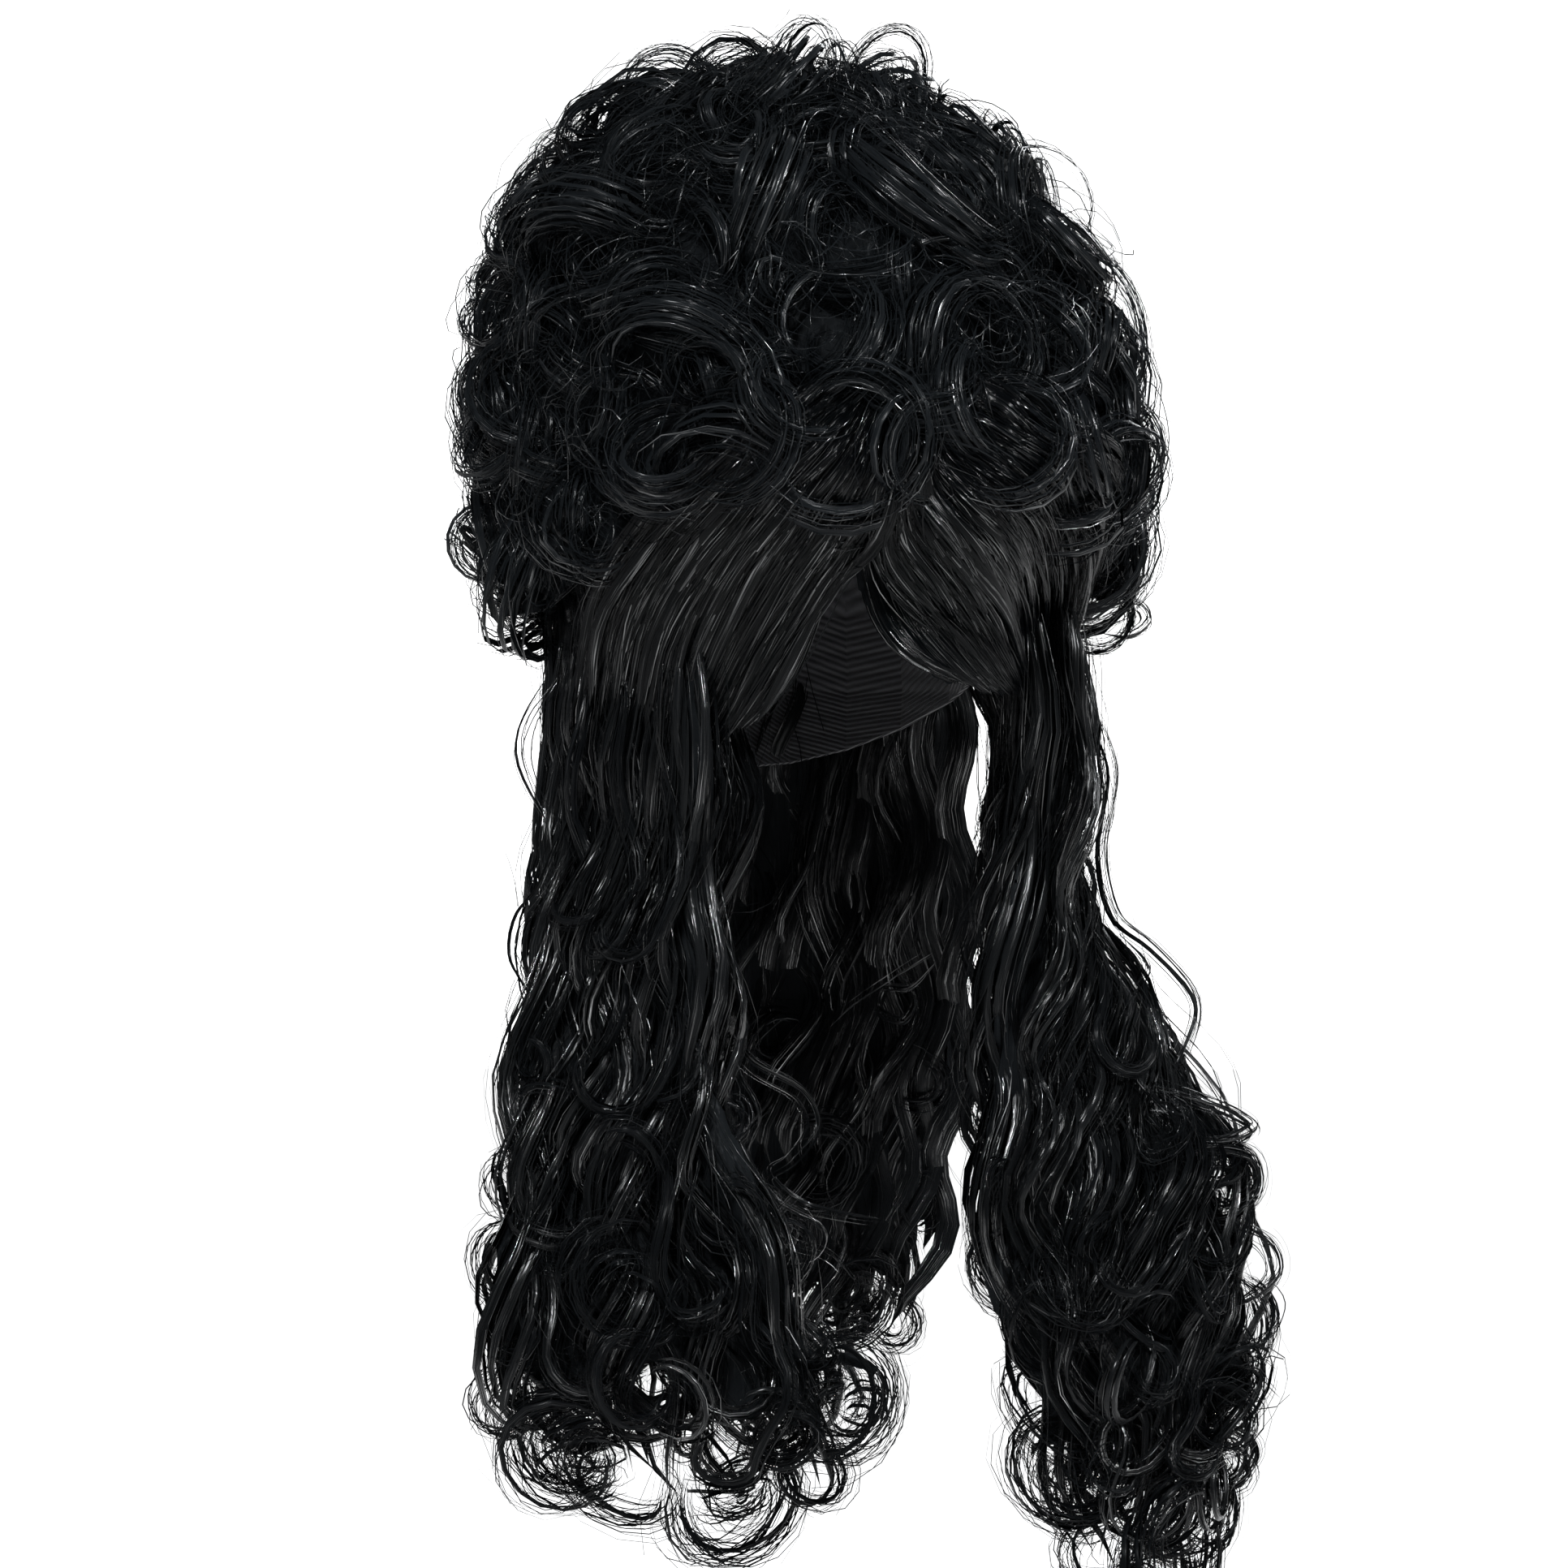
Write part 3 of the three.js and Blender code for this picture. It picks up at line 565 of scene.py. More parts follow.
def mesh_from(name, points, triangles):
    mesh = bpy.data.meshes.new(name)
    mesh.vertices.add(len(points))
    mesh.vertices.foreach_set("co", points.astype(np.float32).ravel())
    mesh.loops.add(3 * len(triangles))
    mesh.loops.foreach_set("vertex_index", triangles.astype(np.int32).ravel())
    mesh.polygons.add(len(triangles))
    starts = np.arange(0, 3 * len(triangles), 3, dtype=np.int32)
    mesh.polygons.foreach_set("loop_start", starts)
    mesh.polygons.foreach_set("use_smooth", np.ones(len(triangles), bool))
    mesh.update(calc_edges=True)
    mesh.validate()
    return mesh


def piece_of(name, mesh, material, slot, *nodes):
    """Puts a mesh in the scene as a piece of the wig, in the place of any nodes given."""
    mesh.materials.clear()
    mesh.materials.append(material)
    piece = bpy.data.objects.new(name, mesh)
    bpy.context.scene.collection.objects.link(piece)
    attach(piece, "root")
    if nodes:
        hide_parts(*nodes)


# The mound and its curls


def mound_girth(rise):
    """Share of the mound's half width at a rise."""
    return np.interp(rise, MOUND_RISE, MOUND_GIRTH)


def mound_point(bearing, rise, tease=TEASE_DEPTH):
    """Points of the mound's surface for arrays of bearing in radians and rise."""
    bearing, rise = np.broadcast_arrays(np.asarray(bearing, float), np.asarray(rise, float))
    lump = np.sin(6 * bearing + 5 * rise) * np.sin(3.5 * FULL_TURN * rise)
    girth = mound_girth(rise) * (1 + tease * lump / MOUND_HALF_WIDTH)
    axis_y = MOUND_CENTRE_Y + BEEHIVE_LEAN * rise
    return np.stack(
        [
            np.sin(bearing) * girth * MOUND_HALF_WIDTH,
            -np.cos(bearing) * girth * MOUND_HALF_LENGTH + axis_y,
            rise * MOUND_HEIGHT - SKIRT_DROP,
        ],
        axis=-1,
    )


def mound_frame(bearing, rise):
    """Point, outward normal and level direction at one place of the mound without its lumps."""
    level = np.array(
        [math.cos(bearing) * MOUND_HALF_WIDTH, math.sin(bearing) * MOUND_HALF_LENGTH, 0]
    )
    nearby = np.array([rise, min(1, rise + 0.02), rise - 0.02])
    point, above, below = mound_point(bearing, nearby, tease=0)
    return point, unit(np.cross(unit(level), above - below)), unit(level)


def curl_form(centre, axis, outward, radius, band, thickness, around, stray, height):
    """A curl as curl_paths wants it: it turns round its axis, the middle of its arc outward."""
    first = unit(outward - axis * outward.dot(axis))
    return {
        "centre": centre,
        "axis": axis,
        "first": first,
        "second": np.cross(axis, first),
        "radius": radius,
        "band": band,
        "thickness": thickness,
        "around": around,
        "stray": stray,
        "height": height,
    }


def curl_paths(rng, curl, across, through, steps):
    """Paths side by side round one curl: they fan at its middle and close at its ends.

    across and through place each path in the curl's section, in shares of its band and
    thickness.
    """
    paths = len(across)
    across, through = across[:, None], through[:, None]
    stretch = 1 + curl["stray"] * rng.normal(size=(paths, 1))
    late = 0.12 * rng.normal(size=(paths, 1))
    share = np.linspace(0, 1, steps)[None]
    fullness = np.sqrt(np.sin(math.pi * (0.1 + 0.8 * share)))
    angle = curl["around"] * stretch * (share - 0.5) + late
    phase = rng.uniform(0, FULL_TURN, (paths, 1))
    ripple = rng.uniform(0, 0.6, (paths, 1)) * np.sin(3 * math.pi * share + phase)
    reach = curl["radius"] * stretch * (1 + CURL_TIGHTEN * (0.5 - share))
    reach = reach + curl["thickness"] * (through + ripple) * fullness
    aside = curl["band"] * (CURL_PITCH * (share - 0.5) + (across + 0.4 * ripple) * fullness)
    return (
        curl["centre"]
        + curl["first"] * (reach * np.cos(angle))[..., None]
        + curl["second"] * (curl["height"] * reach * np.sin(angle))[..., None]
        + curl["axis"] * aside[..., None]
    )


def lock_places(rng, locks, outermost):
    """Angles of locks spread round a section, and their places across and through it."""
    angle = FULL_TURN * (np.arange(locks) + rng.uniform(0, 0.6, locks)) / locks
    inset = rng.uniform(0.55, outermost, locks)
    return angle, inset * np.cos(angle), inset * np.sin(angle)


def strand_places(rng, strands, innermost):
    """The same for single strands, a few of which stand far out of the section."""
    angle = rng.uniform(0, FULL_TURN, strands)
    inset = innermost + 0.35 * rng.uniform(0, 1, strands)
    inset = inset + 0.9 * rng.uniform(0, 1, strands) ** 7
    return angle, inset * np.cos(angle), inset * np.sin(angle)


def lay(rng, bundle, paths, aside, depth, angle, half_width, widest, ridge):
    """Adds paths flat round a section, whose directions at the root are aside and depth.

    Their half widths vary from 0.6 to widest times half_width, and ridge is the height of
    their middle as a share of that.
    """
    wide = aside * np.sin(angle)[:, None] - depth * np.cos(angle)[:, None]
    width = half_width * rng.uniform(0.6, widest, len(angle))
    bundle.add(paths, unit(wide), width, ridge * width, rng.uniform(0, 1, len(angle)))


def dress_curl(rng, bundle, curl, locks, lock_width, strands, strand_width, steps):
    """Flat locks laid round a curl's section, with single strands over them."""
    start = -0.5 * curl["around"]
    radial = curl["first"] * math.cos(start) + curl["second"] * math.sin(start)
    if locks:
        angle, across, through = lock_places(rng, locks, outermost=0.9)
        paths = curl_paths(rng, curl, across, through, steps)
        aside, depth = curl["axis"] * curl["band"], radial * curl["thickness"]
        lay(rng, bundle, paths, aside, depth, angle, lock_width, LOCK_WIDEST, LOCK_RIDGE)
    angle, across, through = strand_places(rng, strands, innermost=0.8)
    paths = curl_paths(rng, curl, across, through, steps)
    lay(rng, bundle, paths, curl["axis"], radial, angle, strand_width, STRAND_WIDEST, 0)


def part_curls():
    """The curls of the part's solid: bearing, rise, size, tilt and turn, in radians."""
    curls = []
    rows = round(1.3 * MOUND_HEIGHT / CURL_SPACING)
    for row in range(rows):
        row_rise = 0.1 + 0.86 * row / (rows - 1)
        girth = float(mound_girth(row_rise))
        count = max(1, round(FULL_TURN * girth * MOUND_HALF_WIDTH / CURL_SPACING))
        for i in range(count):
            index = len(curls) + 1
            bearing = FULL_TURN * (i + 0.5 * (row % 2) + 0.3 * spread(index, PLACE_STEP)) / count
            lift = FRONT_LIFT / MOUND_HEIGHT * max(0, math.cos(bearing)) * (1 - row_rise)
            rise = min(0.96, row_rise + lift + 0.05 * (spread(index, ROUND_STEP) - 0.5))
            size = 0.85 + 0.4 * spread(index, SIZE_STEP)
            tilt = math.radians(25 + 55 * spread(index, TILT_STEP))
            curls.append((bearing, rise, size, tilt, FULL_TURN * spread(index, TURN_STEP)))
    for bearing, rise, size, tilt, turn in STANDING_CURLS:
        curls.append(
            (math.radians(bearing), rise, size, math.radians(tilt), math.radians(turn))
        )
    return curls


def mound_curl(
    bearing, rise, tilt, turn, lift, radius, band, thickness,
    around=CURL_ARC, stray=0.05, height=1.0,
):
    """A curl on the mound: its axis tilts from the surface's normal, its centre is lifted."""
    point, normal, level = mound_frame(bearing, rise)
    upward = np.cross(normal, level)
    axis = unit(
        normal * math.cos(tilt)
        + level * math.sin(tilt) * math.cos(turn)
        + upward * math.sin(tilt) * math.sin(turn)
    )
    centre = point + normal * lift
    return curl_form(centre, axis, normal, radius, band, thickness, around, stray, height)


def main_curls(rng, bundle):
    """Dense bundles round the same curls as the solid has."""
    for bearing, rise, size, tilt, turn in part_curls():
        lift = 0.4 * CURL_THICKNESS * math.cos(tilt) - CURL_SINK * math.sin(tilt)
        radius = CURL_RADIUS * size
        curl = mound_curl(
            bearing, rise, tilt, turn, lift, radius, CURL_BAND + 1, CURL_THICKNESS, stray=0.09
        )
        dress_curl(rng, bundle, curl, *MAIN_DRESS)


def front_curls(rng, bundle):
    """Larger curls at the beehive's front, over the roots of the combed hair."""
    for bearing, rise, radius, lift, tilt, turn in FRONT_CURLS:
        curl = mound_curl(
            math.radians(bearing), rise, math.radians(tilt), math.radians(turn), lift, radius,
            band=11, thickness=5, around=math.radians(270), stray=0.12,
        )
        dress_curl(rng, bundle, curl, *FRONT_DRESS)


def above_hairline(bearing, rise, margin):
    """Whether a place lies over the beehive's lower edge, which is lifted at the front."""
    return rise * MOUND_HEIGHT >= FRONT_LIFT * max(0.0, math.cos(bearing)) + margin


def fill_curls(rng, bundle, total, side):
    """Smaller curls between the main ones on the front or back half of the mound."""
    for index in range(total):
        rise = 0.04 + 0.93 * spread(index + 1, PLACE_STEP) ** 0.8
        bearing = side + math.pi * (spread(index + 1, ROUND_STEP) - 0.5)
        if not above_hairline(bearing, rise, 6):
            continue
        tilt = math.radians(rng.uniform(12, 86))
        turn = rng.uniform(0, FULL_TURN)
        radius = rng.uniform(10, 22)
        lift = rng.uniform(-1, 5) - 0.6 * radius * math.sin(tilt)
        curl = mound_curl(
            bearing, rise, tilt, turn, lift, radius,
            band=rng.uniform(5, 10), thickness=rng.uniform(3, 5),
            around=math.radians(rng.uniform(200, 330)), stray=0.1, height=rng.uniform(0.75, 1.3),
        )
        dress_curl(rng, bundle, curl, *FILL_DRESS)


def side_curls(rng, bundle, total):
    """Curls that lie flat between the standing ones at the beehive's sides."""
    for index in range(total):
        side = 70 if index % 2 else -110
        bearing = math.radians(side + rng.choice([-1, 1]) * rng.uniform(6, 22))
        rise = 0.1 + 0.8 * spread(index + 1, PLACE_STEP)
        curl = mound_curl(
            bearing, rise, math.radians(rng.uniform(5, 40)), rng.uniform(0, FULL_TURN),
            lift=rng.uniform(5, 12), radius=rng.uniform(14, 22), band=10, thickness=5,
            around=math.radians(rng.uniform(220, 310)), stray=0.1,
        )
        dress_curl(rng, bundle, curl, *SIDE_DRESS)


def outer_loops(rng, bundle):
    """Thin loops that the background shows through, round the beehive's edge."""
    for index, loop in enumerate(OUTER_LOOPS):
        bearing, rise, radius, lift, height, turn, strands = loop
        bearing += LOOP_SCATTER * (2 * spread(index + 1, PLACE_STEP) - 1)
        curl = mound_curl(
            math.radians(bearing), rise, math.radians(LOOP_TILT), math.radians(turn), lift - 5,
            radius, band=6, thickness=2.4, around=math.radians(LOOP_ARC), stray=0.07, height=height,
        )
        dress_curl(
            rng, bundle, curl, strands // 9, lock_width=0.9, strands=2 * strands,
            strand_width=0.17, steps=17,
        )


def edge_wisps(rng, bundle, total):
    """Single hairs that stand off the mound all round, in loose arcs."""
    for index in range(total):
        rise = 0.05 + 0.93 * spread(index + 1, PLACE_STEP) ** 0.8
        bearing = FULL_TURN * spread(index + 1, ROUND_STEP)
        if not above_hairline(bearing, rise, 8):
            continue
        tilt = math.radians(rng.uniform(55, 90))
        radius = rng.uniform(8, 19)
        lift = rng.uniform(-3, 9) - 0.3 * radius
        curl = mound_curl(
            bearing, rise, tilt, rng.uniform(0, FULL_TURN), lift, radius, band=5, thickness=3,
            around=math.radians(rng.uniform(200, 330)), stray=0.16, height=rng.uniform(0.7, 1.5),
        )
        dress_curl(rng, bundle, curl, *WISP_DRESS)


def mound_strands(rng, bundle, strands, steps, reach):
    """Wavy hairs that hug the mound in all directions and fill in between the curls."""
    bearing = rng.uniform(0, FULL_TURN, strands)
    rise = 0.05 + 0.93 * rng.uniform(0, 1, strands) ** 0.85
    base = rng.uniform(0, 9, strands)
    bow = rng.uniform(0, 6, strands)
    points = np.empty((strands, steps, 3))
    heading = rng.uniform(0, FULL_TURN, strands)
    bend_rate = rng.choice([-1, 1], strands) * rng.uniform(1.2, 5.5, strands)
    for k in range(steps):
        share = k / (steps - 1)
        surface = mound_point(bearing, rise)
        centre = np.stack(
            [np.zeros(strands), MOUND_CENTRE_Y + BEEHIVE_LEAN * rise, rise * 90 - 40], axis=-1
        )
        outward = unit(surface - centre)
        off = base + bow * math.sin(math.pi * share) - 3 * (share in (0.0, 1.0))
        points[:, k] = surface + outward * off[:, None]
        swirl = 1.2 * np.sin(3 * bearing + 7 * rise) + np.sin(11 * rise - 2 * bearing)
        angle = swirl + heading + bend_rate * share
        stride = reach / (steps - 1)
        girth = np.maximum(0.25, mound_girth(rise))
        bearing = bearing + stride * np.cos(angle) / (girth * MOUND_HALF_WIDTH)
        rise = np.clip(rise + stride * np.sin(angle) / MOUND_HEIGHT, 0.02, 0.985)
        low_edge = (FRONT_LIFT * np.maximum(0, np.cos(bearing)) + 4) / MOUND_HEIGHT
        rise = np.maximum(rise, low_edge)
    across = unit(np.cross(points[:, 1] - points[:, 0], UP) + 1e-6)
    width = 0.24 * rng.uniform(0.6, 1.3, strands)
    bundle.add(points, across, width, 0, rng.uniform(0, 1, strands))


# The falls


def fall_section(form, drop, across, through):
    """Points of a fall, with its wide and deep directions, for an array of drops."""
    drops, *columns = form["sections"].T
    out, fore, turn, wide, deep, wrap = (np.interp(drop, drops, column) for column in columns)
    turn = np.radians(turn)
    zero = np.zeros_like(turn)
    aside = np.stack([np.cos(turn), np.sin(turn), zero], axis=-1)
    inward = np.stack([-np.sin(turn), np.cos(turn), zero], axis=-1)
    middle = np.stack(
        [
            form["side"] * ROOT_HALF_WIDTH * out,
            -form["fore_size"] * fore,
            ROOT_RISE - ROOT_DROP - drop * (form["length"] + ROOT_RISE),
        ],
        axis=-1,
    )
    wrapped = form["outward"] * HEAD_HALF_WIDTH * wrap * across**2
    depth = through * form["half_depth"] * deep - wrapped
    width = across * form["half_width"] * wide
    return middle + aside * width[..., None] + inward * depth[..., None], aside, inward


def resampled(points, longest, sharpest):
    """The same course with points close together where it bends and farther apart elsewhere."""
    legs = np.diff(points, axis=0)
    length = np.linalg.norm(legs, axis=1)
    along = unit(legs)
    bend_at = np.arccos(np.clip((along[1:] * along[:-1]).sum(axis=1), -1, 1))
    bends = np.concatenate([[0], bend_at])
    measure = np.concatenate([[0], np.cumsum(length / longest + bends / sharpest)])
    count = max(5, round(measure[-1]))
    wanted = np.linspace(0, measure[-1], count)
    return np.stack([np.interp(wanted, measure, points[:, i]) for i in range(3)], axis=-1)


def waved(points, wide, deep, swing, deep_swing, phase):
    """A course that waves across and through its fall."""
    points = points + wide * (swing * np.sin(phase))[:, None]
    return points + deep * (deep_swing * np.cos(phase))[:, None]


def clump_centre(form, rng, across, through, start, end, tail_radius, tail_arc):
    """Middle line of one clump: waves that grow downward, then a curl at its tip."""
    stride = 3
    length = (end - start) * form["length"]
    steps = max(8, round(length / stride))
    drop = np.linspace(start, end, steps)
    squeeze = 1 - 0.16 * drop
    points, wide, deep = fall_section(form, drop, across * squeeze, through * squeeze)
    wave_length = rng.uniform(70, 92)
    phase = 1.5 * math.sin(2.4 * across + form["side"]) + 0.4 * rng.normal()
    phase = phase + FULL_TURN * drop * form["length"] / wave_length
    phase = phase + 2.2 * drop**2 * rng.uniform(0.4, 1.2)
    swing = 4.5 + 8 * np.clip(1.6 * drop, 0, 1) * rng.uniform(0.7, 1.1)
    swing = swing * (1 - 0.45 * min(1, abs(across)))
    points = waved(points, wide, deep, swing, 0.85 * swing, phase)
    ahead = unit(points[-1] - points[-2])
    lean = rng.uniform(-0.9, 0.9)
    inward = -np.sign(across) if abs(across) > 0.45 else rng.choice([-1, 1])
    side = inward * wide[-1] * math.cos(lean) + deep[-1] * math.sin(lean)
    side = unit(side - ahead * side.dot(ahead))
    tail = [points[-1]]
    heading = 0.0
    radius = tail_radius
    hook = unit(np.cross(ahead, side))
    while heading < tail_arc:
        heading += stride / radius
        radius *= 0.99
        step = ahead * math.cos(heading) + side * math.sin(heading) + hook * 0.12
        tail.append(tail[-1] + step * stride)
    course = np.concatenate([points, np.array(tail[1:])])
    return resampled(course, *FALL_STEP), wide[0]


def part_lock(form, index):
    """Middle line of a lock that the solid has."""
    across = 0.72 * (2 * index / 4 - 1)
    through = 0.3 if index % 2 == 0 else -0.3
    drop = (0.9 + 0.1 * spread(index + 1, PLACE_STEP)) * np.linspace(0, 1, 140)
    points, wide, deep = fall_section(form, drop, across, np.full(140, through))
    phase = FULL_TURN * (drop * form["length"] / WAVE_LENGTH + spread(index, ROUND_STEP))
    swing = WAVE_HEIGHT * np.minimum(1, 2 * drop)
    points = waved(points, wide, deep, swing, 0.4 * swing, phase)
    return resampled(points, *FALL_STEP), wide[0]


def fall_curl(form, drop, round_angle, reach, depth, lean, slant, hang, **sizes):
    """A curl at an angle round a fall's section.

    reach and depth scale its place across and through the section. Its axis slants from the
    section's depth in the direction lean, and its arc's middle hangs by a share.
    """
    place = fall_section(
        form,
        np.array([drop]),
        reach * math.cos(round_angle),
        np.array([depth * math.sin(round_angle)]),
    )
    centre, wide, deep = (part[0] for part in place)
    axis = unit(deep + wide * slant * math.cos(lean) + UP * slant * math.sin(lean))
    outward = wide * math.cos(round_angle) + deep * math.sin(round_angle) - UP * hang
    return curl_form(centre, axis, outward, **sizes)


def part_ringlet(form, index, count):
    """A ringlet that the solid has."""
    return fall_curl(
        form,
        0.68 + 0.32 * (index + 0.5) / count,
        FULL_TURN * spread(index + 1, PLACE_STEP),
        reach=0.82,
        depth=0.7,
        lean=FULL_TURN * spread(index + 1, ROUND_STEP),
        slant=0.5,
        hang=0.8,
        radius=RINGLET_RADIUS * (0.85 + 0.3 * spread(index, SIZE_STEP)),
        band=RINGLET_BAND + 1,
        thickness=RINGLET_THICKNESS + 0.5,
        around=CURL_ARC,
        stray=0.13,
        height=1.15,
    )


def clump_paths(rng, centre, wide, across, through, sizes):
    """Paths round a clump's middle line, placed in its section in shares of its half sizes.

    sizes gives the half width and half depth of the clump at its top, middle and tip.
    """
    paths = len(across)
    run = np.concatenate([[0], np.cumsum(np.linalg.norm(np.diff(centre, axis=0), axis=1))])
    share = run / run[-1]
    along = unit(np.gradient(centre, axis=0))[None]
    aside = carried(wide[None], along)[0]
    depth = np.cross(along[0], aside)
    knots = (0, 0.45, 1)
    half_width = np.interp(share, knots, [size[0] for size in sizes])
    half_depth = np.interp(share, knots, [size[1] for size in sizes])
    phase = rng.uniform(0, FULL_TURN, (paths, 1))
    pace = rng.uniform(1.5, 4.0, (paths, 1))
    wobble = 0.16 * np.sin(pace * math.pi * share[None] + phase)
    drift = 1 + 0.25 * rng.normal(size=(paths, 1)) * share[None] ** 2
    u = across[:, None] * drift + wobble
    v = through[:, None] * drift + np.roll(wobble, 1, axis=0)
    shift = aside[None] * (u * half_width)[..., None] + depth[None] * (v * half_depth)[..., None]
    return centre[None] + shift, aside[0], depth[0]


def dress_clump(rng, bundle, centre, wide, sizes, locks, lock_width, strands, strand_width):
    """Flat locks laid round a clump's section, with single strands over them."""
    if locks:
        angle, across, through = lock_places(rng, locks, outermost=0.95)
        paths, aside, depth = clump_paths(rng, centre, wide, across, through, sizes)
        paths = cut_ends(rng, paths, LOCK_END)
        aside, depth = aside * sizes[0][0], depth * sizes[0][1]
        lay(rng, bundle, paths, aside, depth, angle, lock_width, LOCK_WIDEST, LOCK_RIDGE)
    angle, across, through = strand_places(rng, strands, innermost=0.75)
    paths, aside, depth = clump_paths(rng, centre, wide, across, through, sizes)
    paths = cut_ends(rng, paths, STRAND_END)
    lay(rng, bundle, paths, aside, depth, angle, strand_width, STRAND_WIDEST, 0)


def cut_ends(rng, paths, shortest):
    """Ends some strands before the others, so that a lock thins towards its tip."""
    strands, steps = paths.shape[:2]
    end = 1 - (1 - shortest) * rng.uniform(0, 1, strands) ** 2
    start = 0.03 * rng.uniform(0, 1, strands)
    share = start[:, None] + (end - start)[:, None] * np.linspace(0, 1, steps)[None]
    place = share * (steps - 1)
    low = np.clip(np.floor(place).astype(int), 0, steps - 2)
    rest = (place - low)[..., None]
    row = np.arange(strands)[:, None]
    return paths[row, low] * (1 - rest) + paths[row, low + 1] * rest


def fall_sheets(rng, bundle, form):
    """Thin locks side by side on both faces of a fall, which close it, with hairs on them."""
    for index in range(SHEETS):
        across = 0.98 * (2 * ((index // 2) + 0.5) / (SHEETS // 2) - 1)
        through = 0.5 if index % 2 else -0.5
        end = 0.78 + 0.2 * spread(index + 1, PLACE_STEP)
        drop = np.linspace(0, end, SHEET_POINTS)
        squeeze = 1 - 0.12 * drop
        points, wide, deep = fall_section(form, drop, across * squeeze, through * squeeze)
        phase = FULL_TURN * (drop * form["length"] / SHEET_WAVE + spread(index // 3, WAVE_STEP) * 0.6)
        swing = 2.6 + 5 * drop
        points = waved(points, wide, deep, swing, SHEET_WAVE_DEPTH, phase)
        edge = wide[0] * (-1 if through > 0 else 1)
        width = 0.9 * form["half_width"] / (SHEETS // 2) * rng.uniform(0.9, 1.3)
        bundle.add(points[None], edge, width, 0.3 * width, rng.uniform(0, 1))
        sizes = ((width, 1.8), (width + 1, 2.4), (width, 2))
        clump = resampled(points, *SHEET_STEP)
        dress_clump(rng, bundle, clump, wide[0], sizes, 0, 0, SHEET_HAIRS, SHEET_HAIR_WIDTH)


def fall_locks(rng, bundle, form, clumps):
    """The long hair of one fall: the solid's locks and more between them, curled at the tips."""
    fall_sheets(rng, bundle, form)
    for index in range(5):
        centre, wide = part_lock(form, index)
        dress_clump(rng, bundle, centre, wide, *PART_CLUMP)
    for index in range(clumps):
        across = 0.84 * (2 * (index + 0.5) / clumps - 1)
        through = (0.6 if index % 2 else -0.6) * rng.uniform(0.7, 1.2)
        end = 0.66 + 0.26 * spread(index + 1, PLACE_STEP)
        tail_radius, tail_arc = rng.uniform(12, 21), rng.uniform(2.6, 6.0)
        centre, wide = clump_centre(
            form, rng, across, through, 0.0, end, tail_radius, tail_arc
        )
        dress_clump(rng, bundle, centre, wide, *LOOSE_CLUMP)


def tip_curls(rng, bundle, form, curls):
    """The solid's ringlets and more of them, which end a fall in a heap of ring curls."""
    for index in range(form["ringlets"]):
        curl = part_ringlet(form, index, form["ringlets"])
        dress_curl(rng, bundle, curl, *RINGLET_DRESS)
        for _ in range(2):
            centre = curl["centre"] + rng.uniform(-7, 7, 3)
            axis = unit(curl["axis"] + rng.uniform(-0.8, 0.8, 3))
            outward = np.cross(axis, rng.normal(size=3))
            smaller = curl_form(
                centre, axis, outward, rng.uniform(5, 13), curl["band"], curl["thickness"],
                curl["around"], 0.15, curl["height"],
            )
            dress_curl(rng, bundle, smaller, *SMALL_RINGLET_DRESS)
    for index in range(curls):
        drop = 0.55 + 0.42 * (index + 0.5) / curls
        curl = fall_curl(
            form,
            drop,
            FULL_TURN * spread(index + 1, TIP_STEP),
            reach=0.8 - 0.3 * max(0.0, drop - 0.9) / 0.14,
            depth=1.0,
            lean=rng.uniform(0, FULL_TURN),
            slant=0.6,
            hang=0.6,
            radius=rng.uniform(7, 16),
            band=rng.uniform(5, 10),
            thickness=rng.uniform(3, 5),
            around=math.radians(rng.uniform(180, 320)),
            stray=0.12,
            height=rng.uniform(0.7, 1.5),
        )
        dress_curl(rng, bundle, curl, *TIP_DRESS)


def chest_curls(rng, bundle, form, curls, strands):
    """Curls that end at different heights on the lower part of a fall, and loose wavy hairs."""
    for _ in range(curls):
        across = rng.uniform(-0.8, 0.8)
        through = rng.choice([-1, 1]) * rng.uniform(0.6, 1.1)
        end = rng.uniform(0.4, 0.95)
        start = max(0.1, end - rng.uniform(0.15, 0.3))
        tail_radius, tail_arc = rng.uniform(9, 19), rng.uniform(3.0, 6.2)
        centre, wide = clump_centre(
            form, rng, across, through, start, end, tail_radius, tail_arc
        )
        dress_clump(rng, bundle, centre, wide, *CHEST_CLUMP)
    for _ in range(strands):
        across = rng.uniform(-0.95, 0.95)
        through = rng.uniform(-1.2, 1.2)
        start = rng.uniform(0.02, 0.5)
        end = min(0.96, start + rng.uniform(0.2, 0.45))
        centre, wide = clump_centre(
            form, rng, across, through, start, end, rng.uniform(10, 22), rng.uniform(1, 5)
        )
        dress_clump(rng, bundle, centre, wide, *CHEST_HAIRS)


def photo_point(column, row, depth):
    """Place in the frame that the camera sees at a pixel of the photograph.

    depth is how far it lies in front of the upright plane through the camera's aim.
    """
    reach = (CAMERA_DISTANCE - depth) * PIXEL / CAMERA_DISTANCE
    aside = AIM_ASIDE + (column - PHOTO_MIDDLE) * reach
    above = (PHOTO_MIDDLE - row) * reach
    return RIGHT * aside + CAMERA_UP * above + TOWARD * depth + UP * AIM_HEIGHT


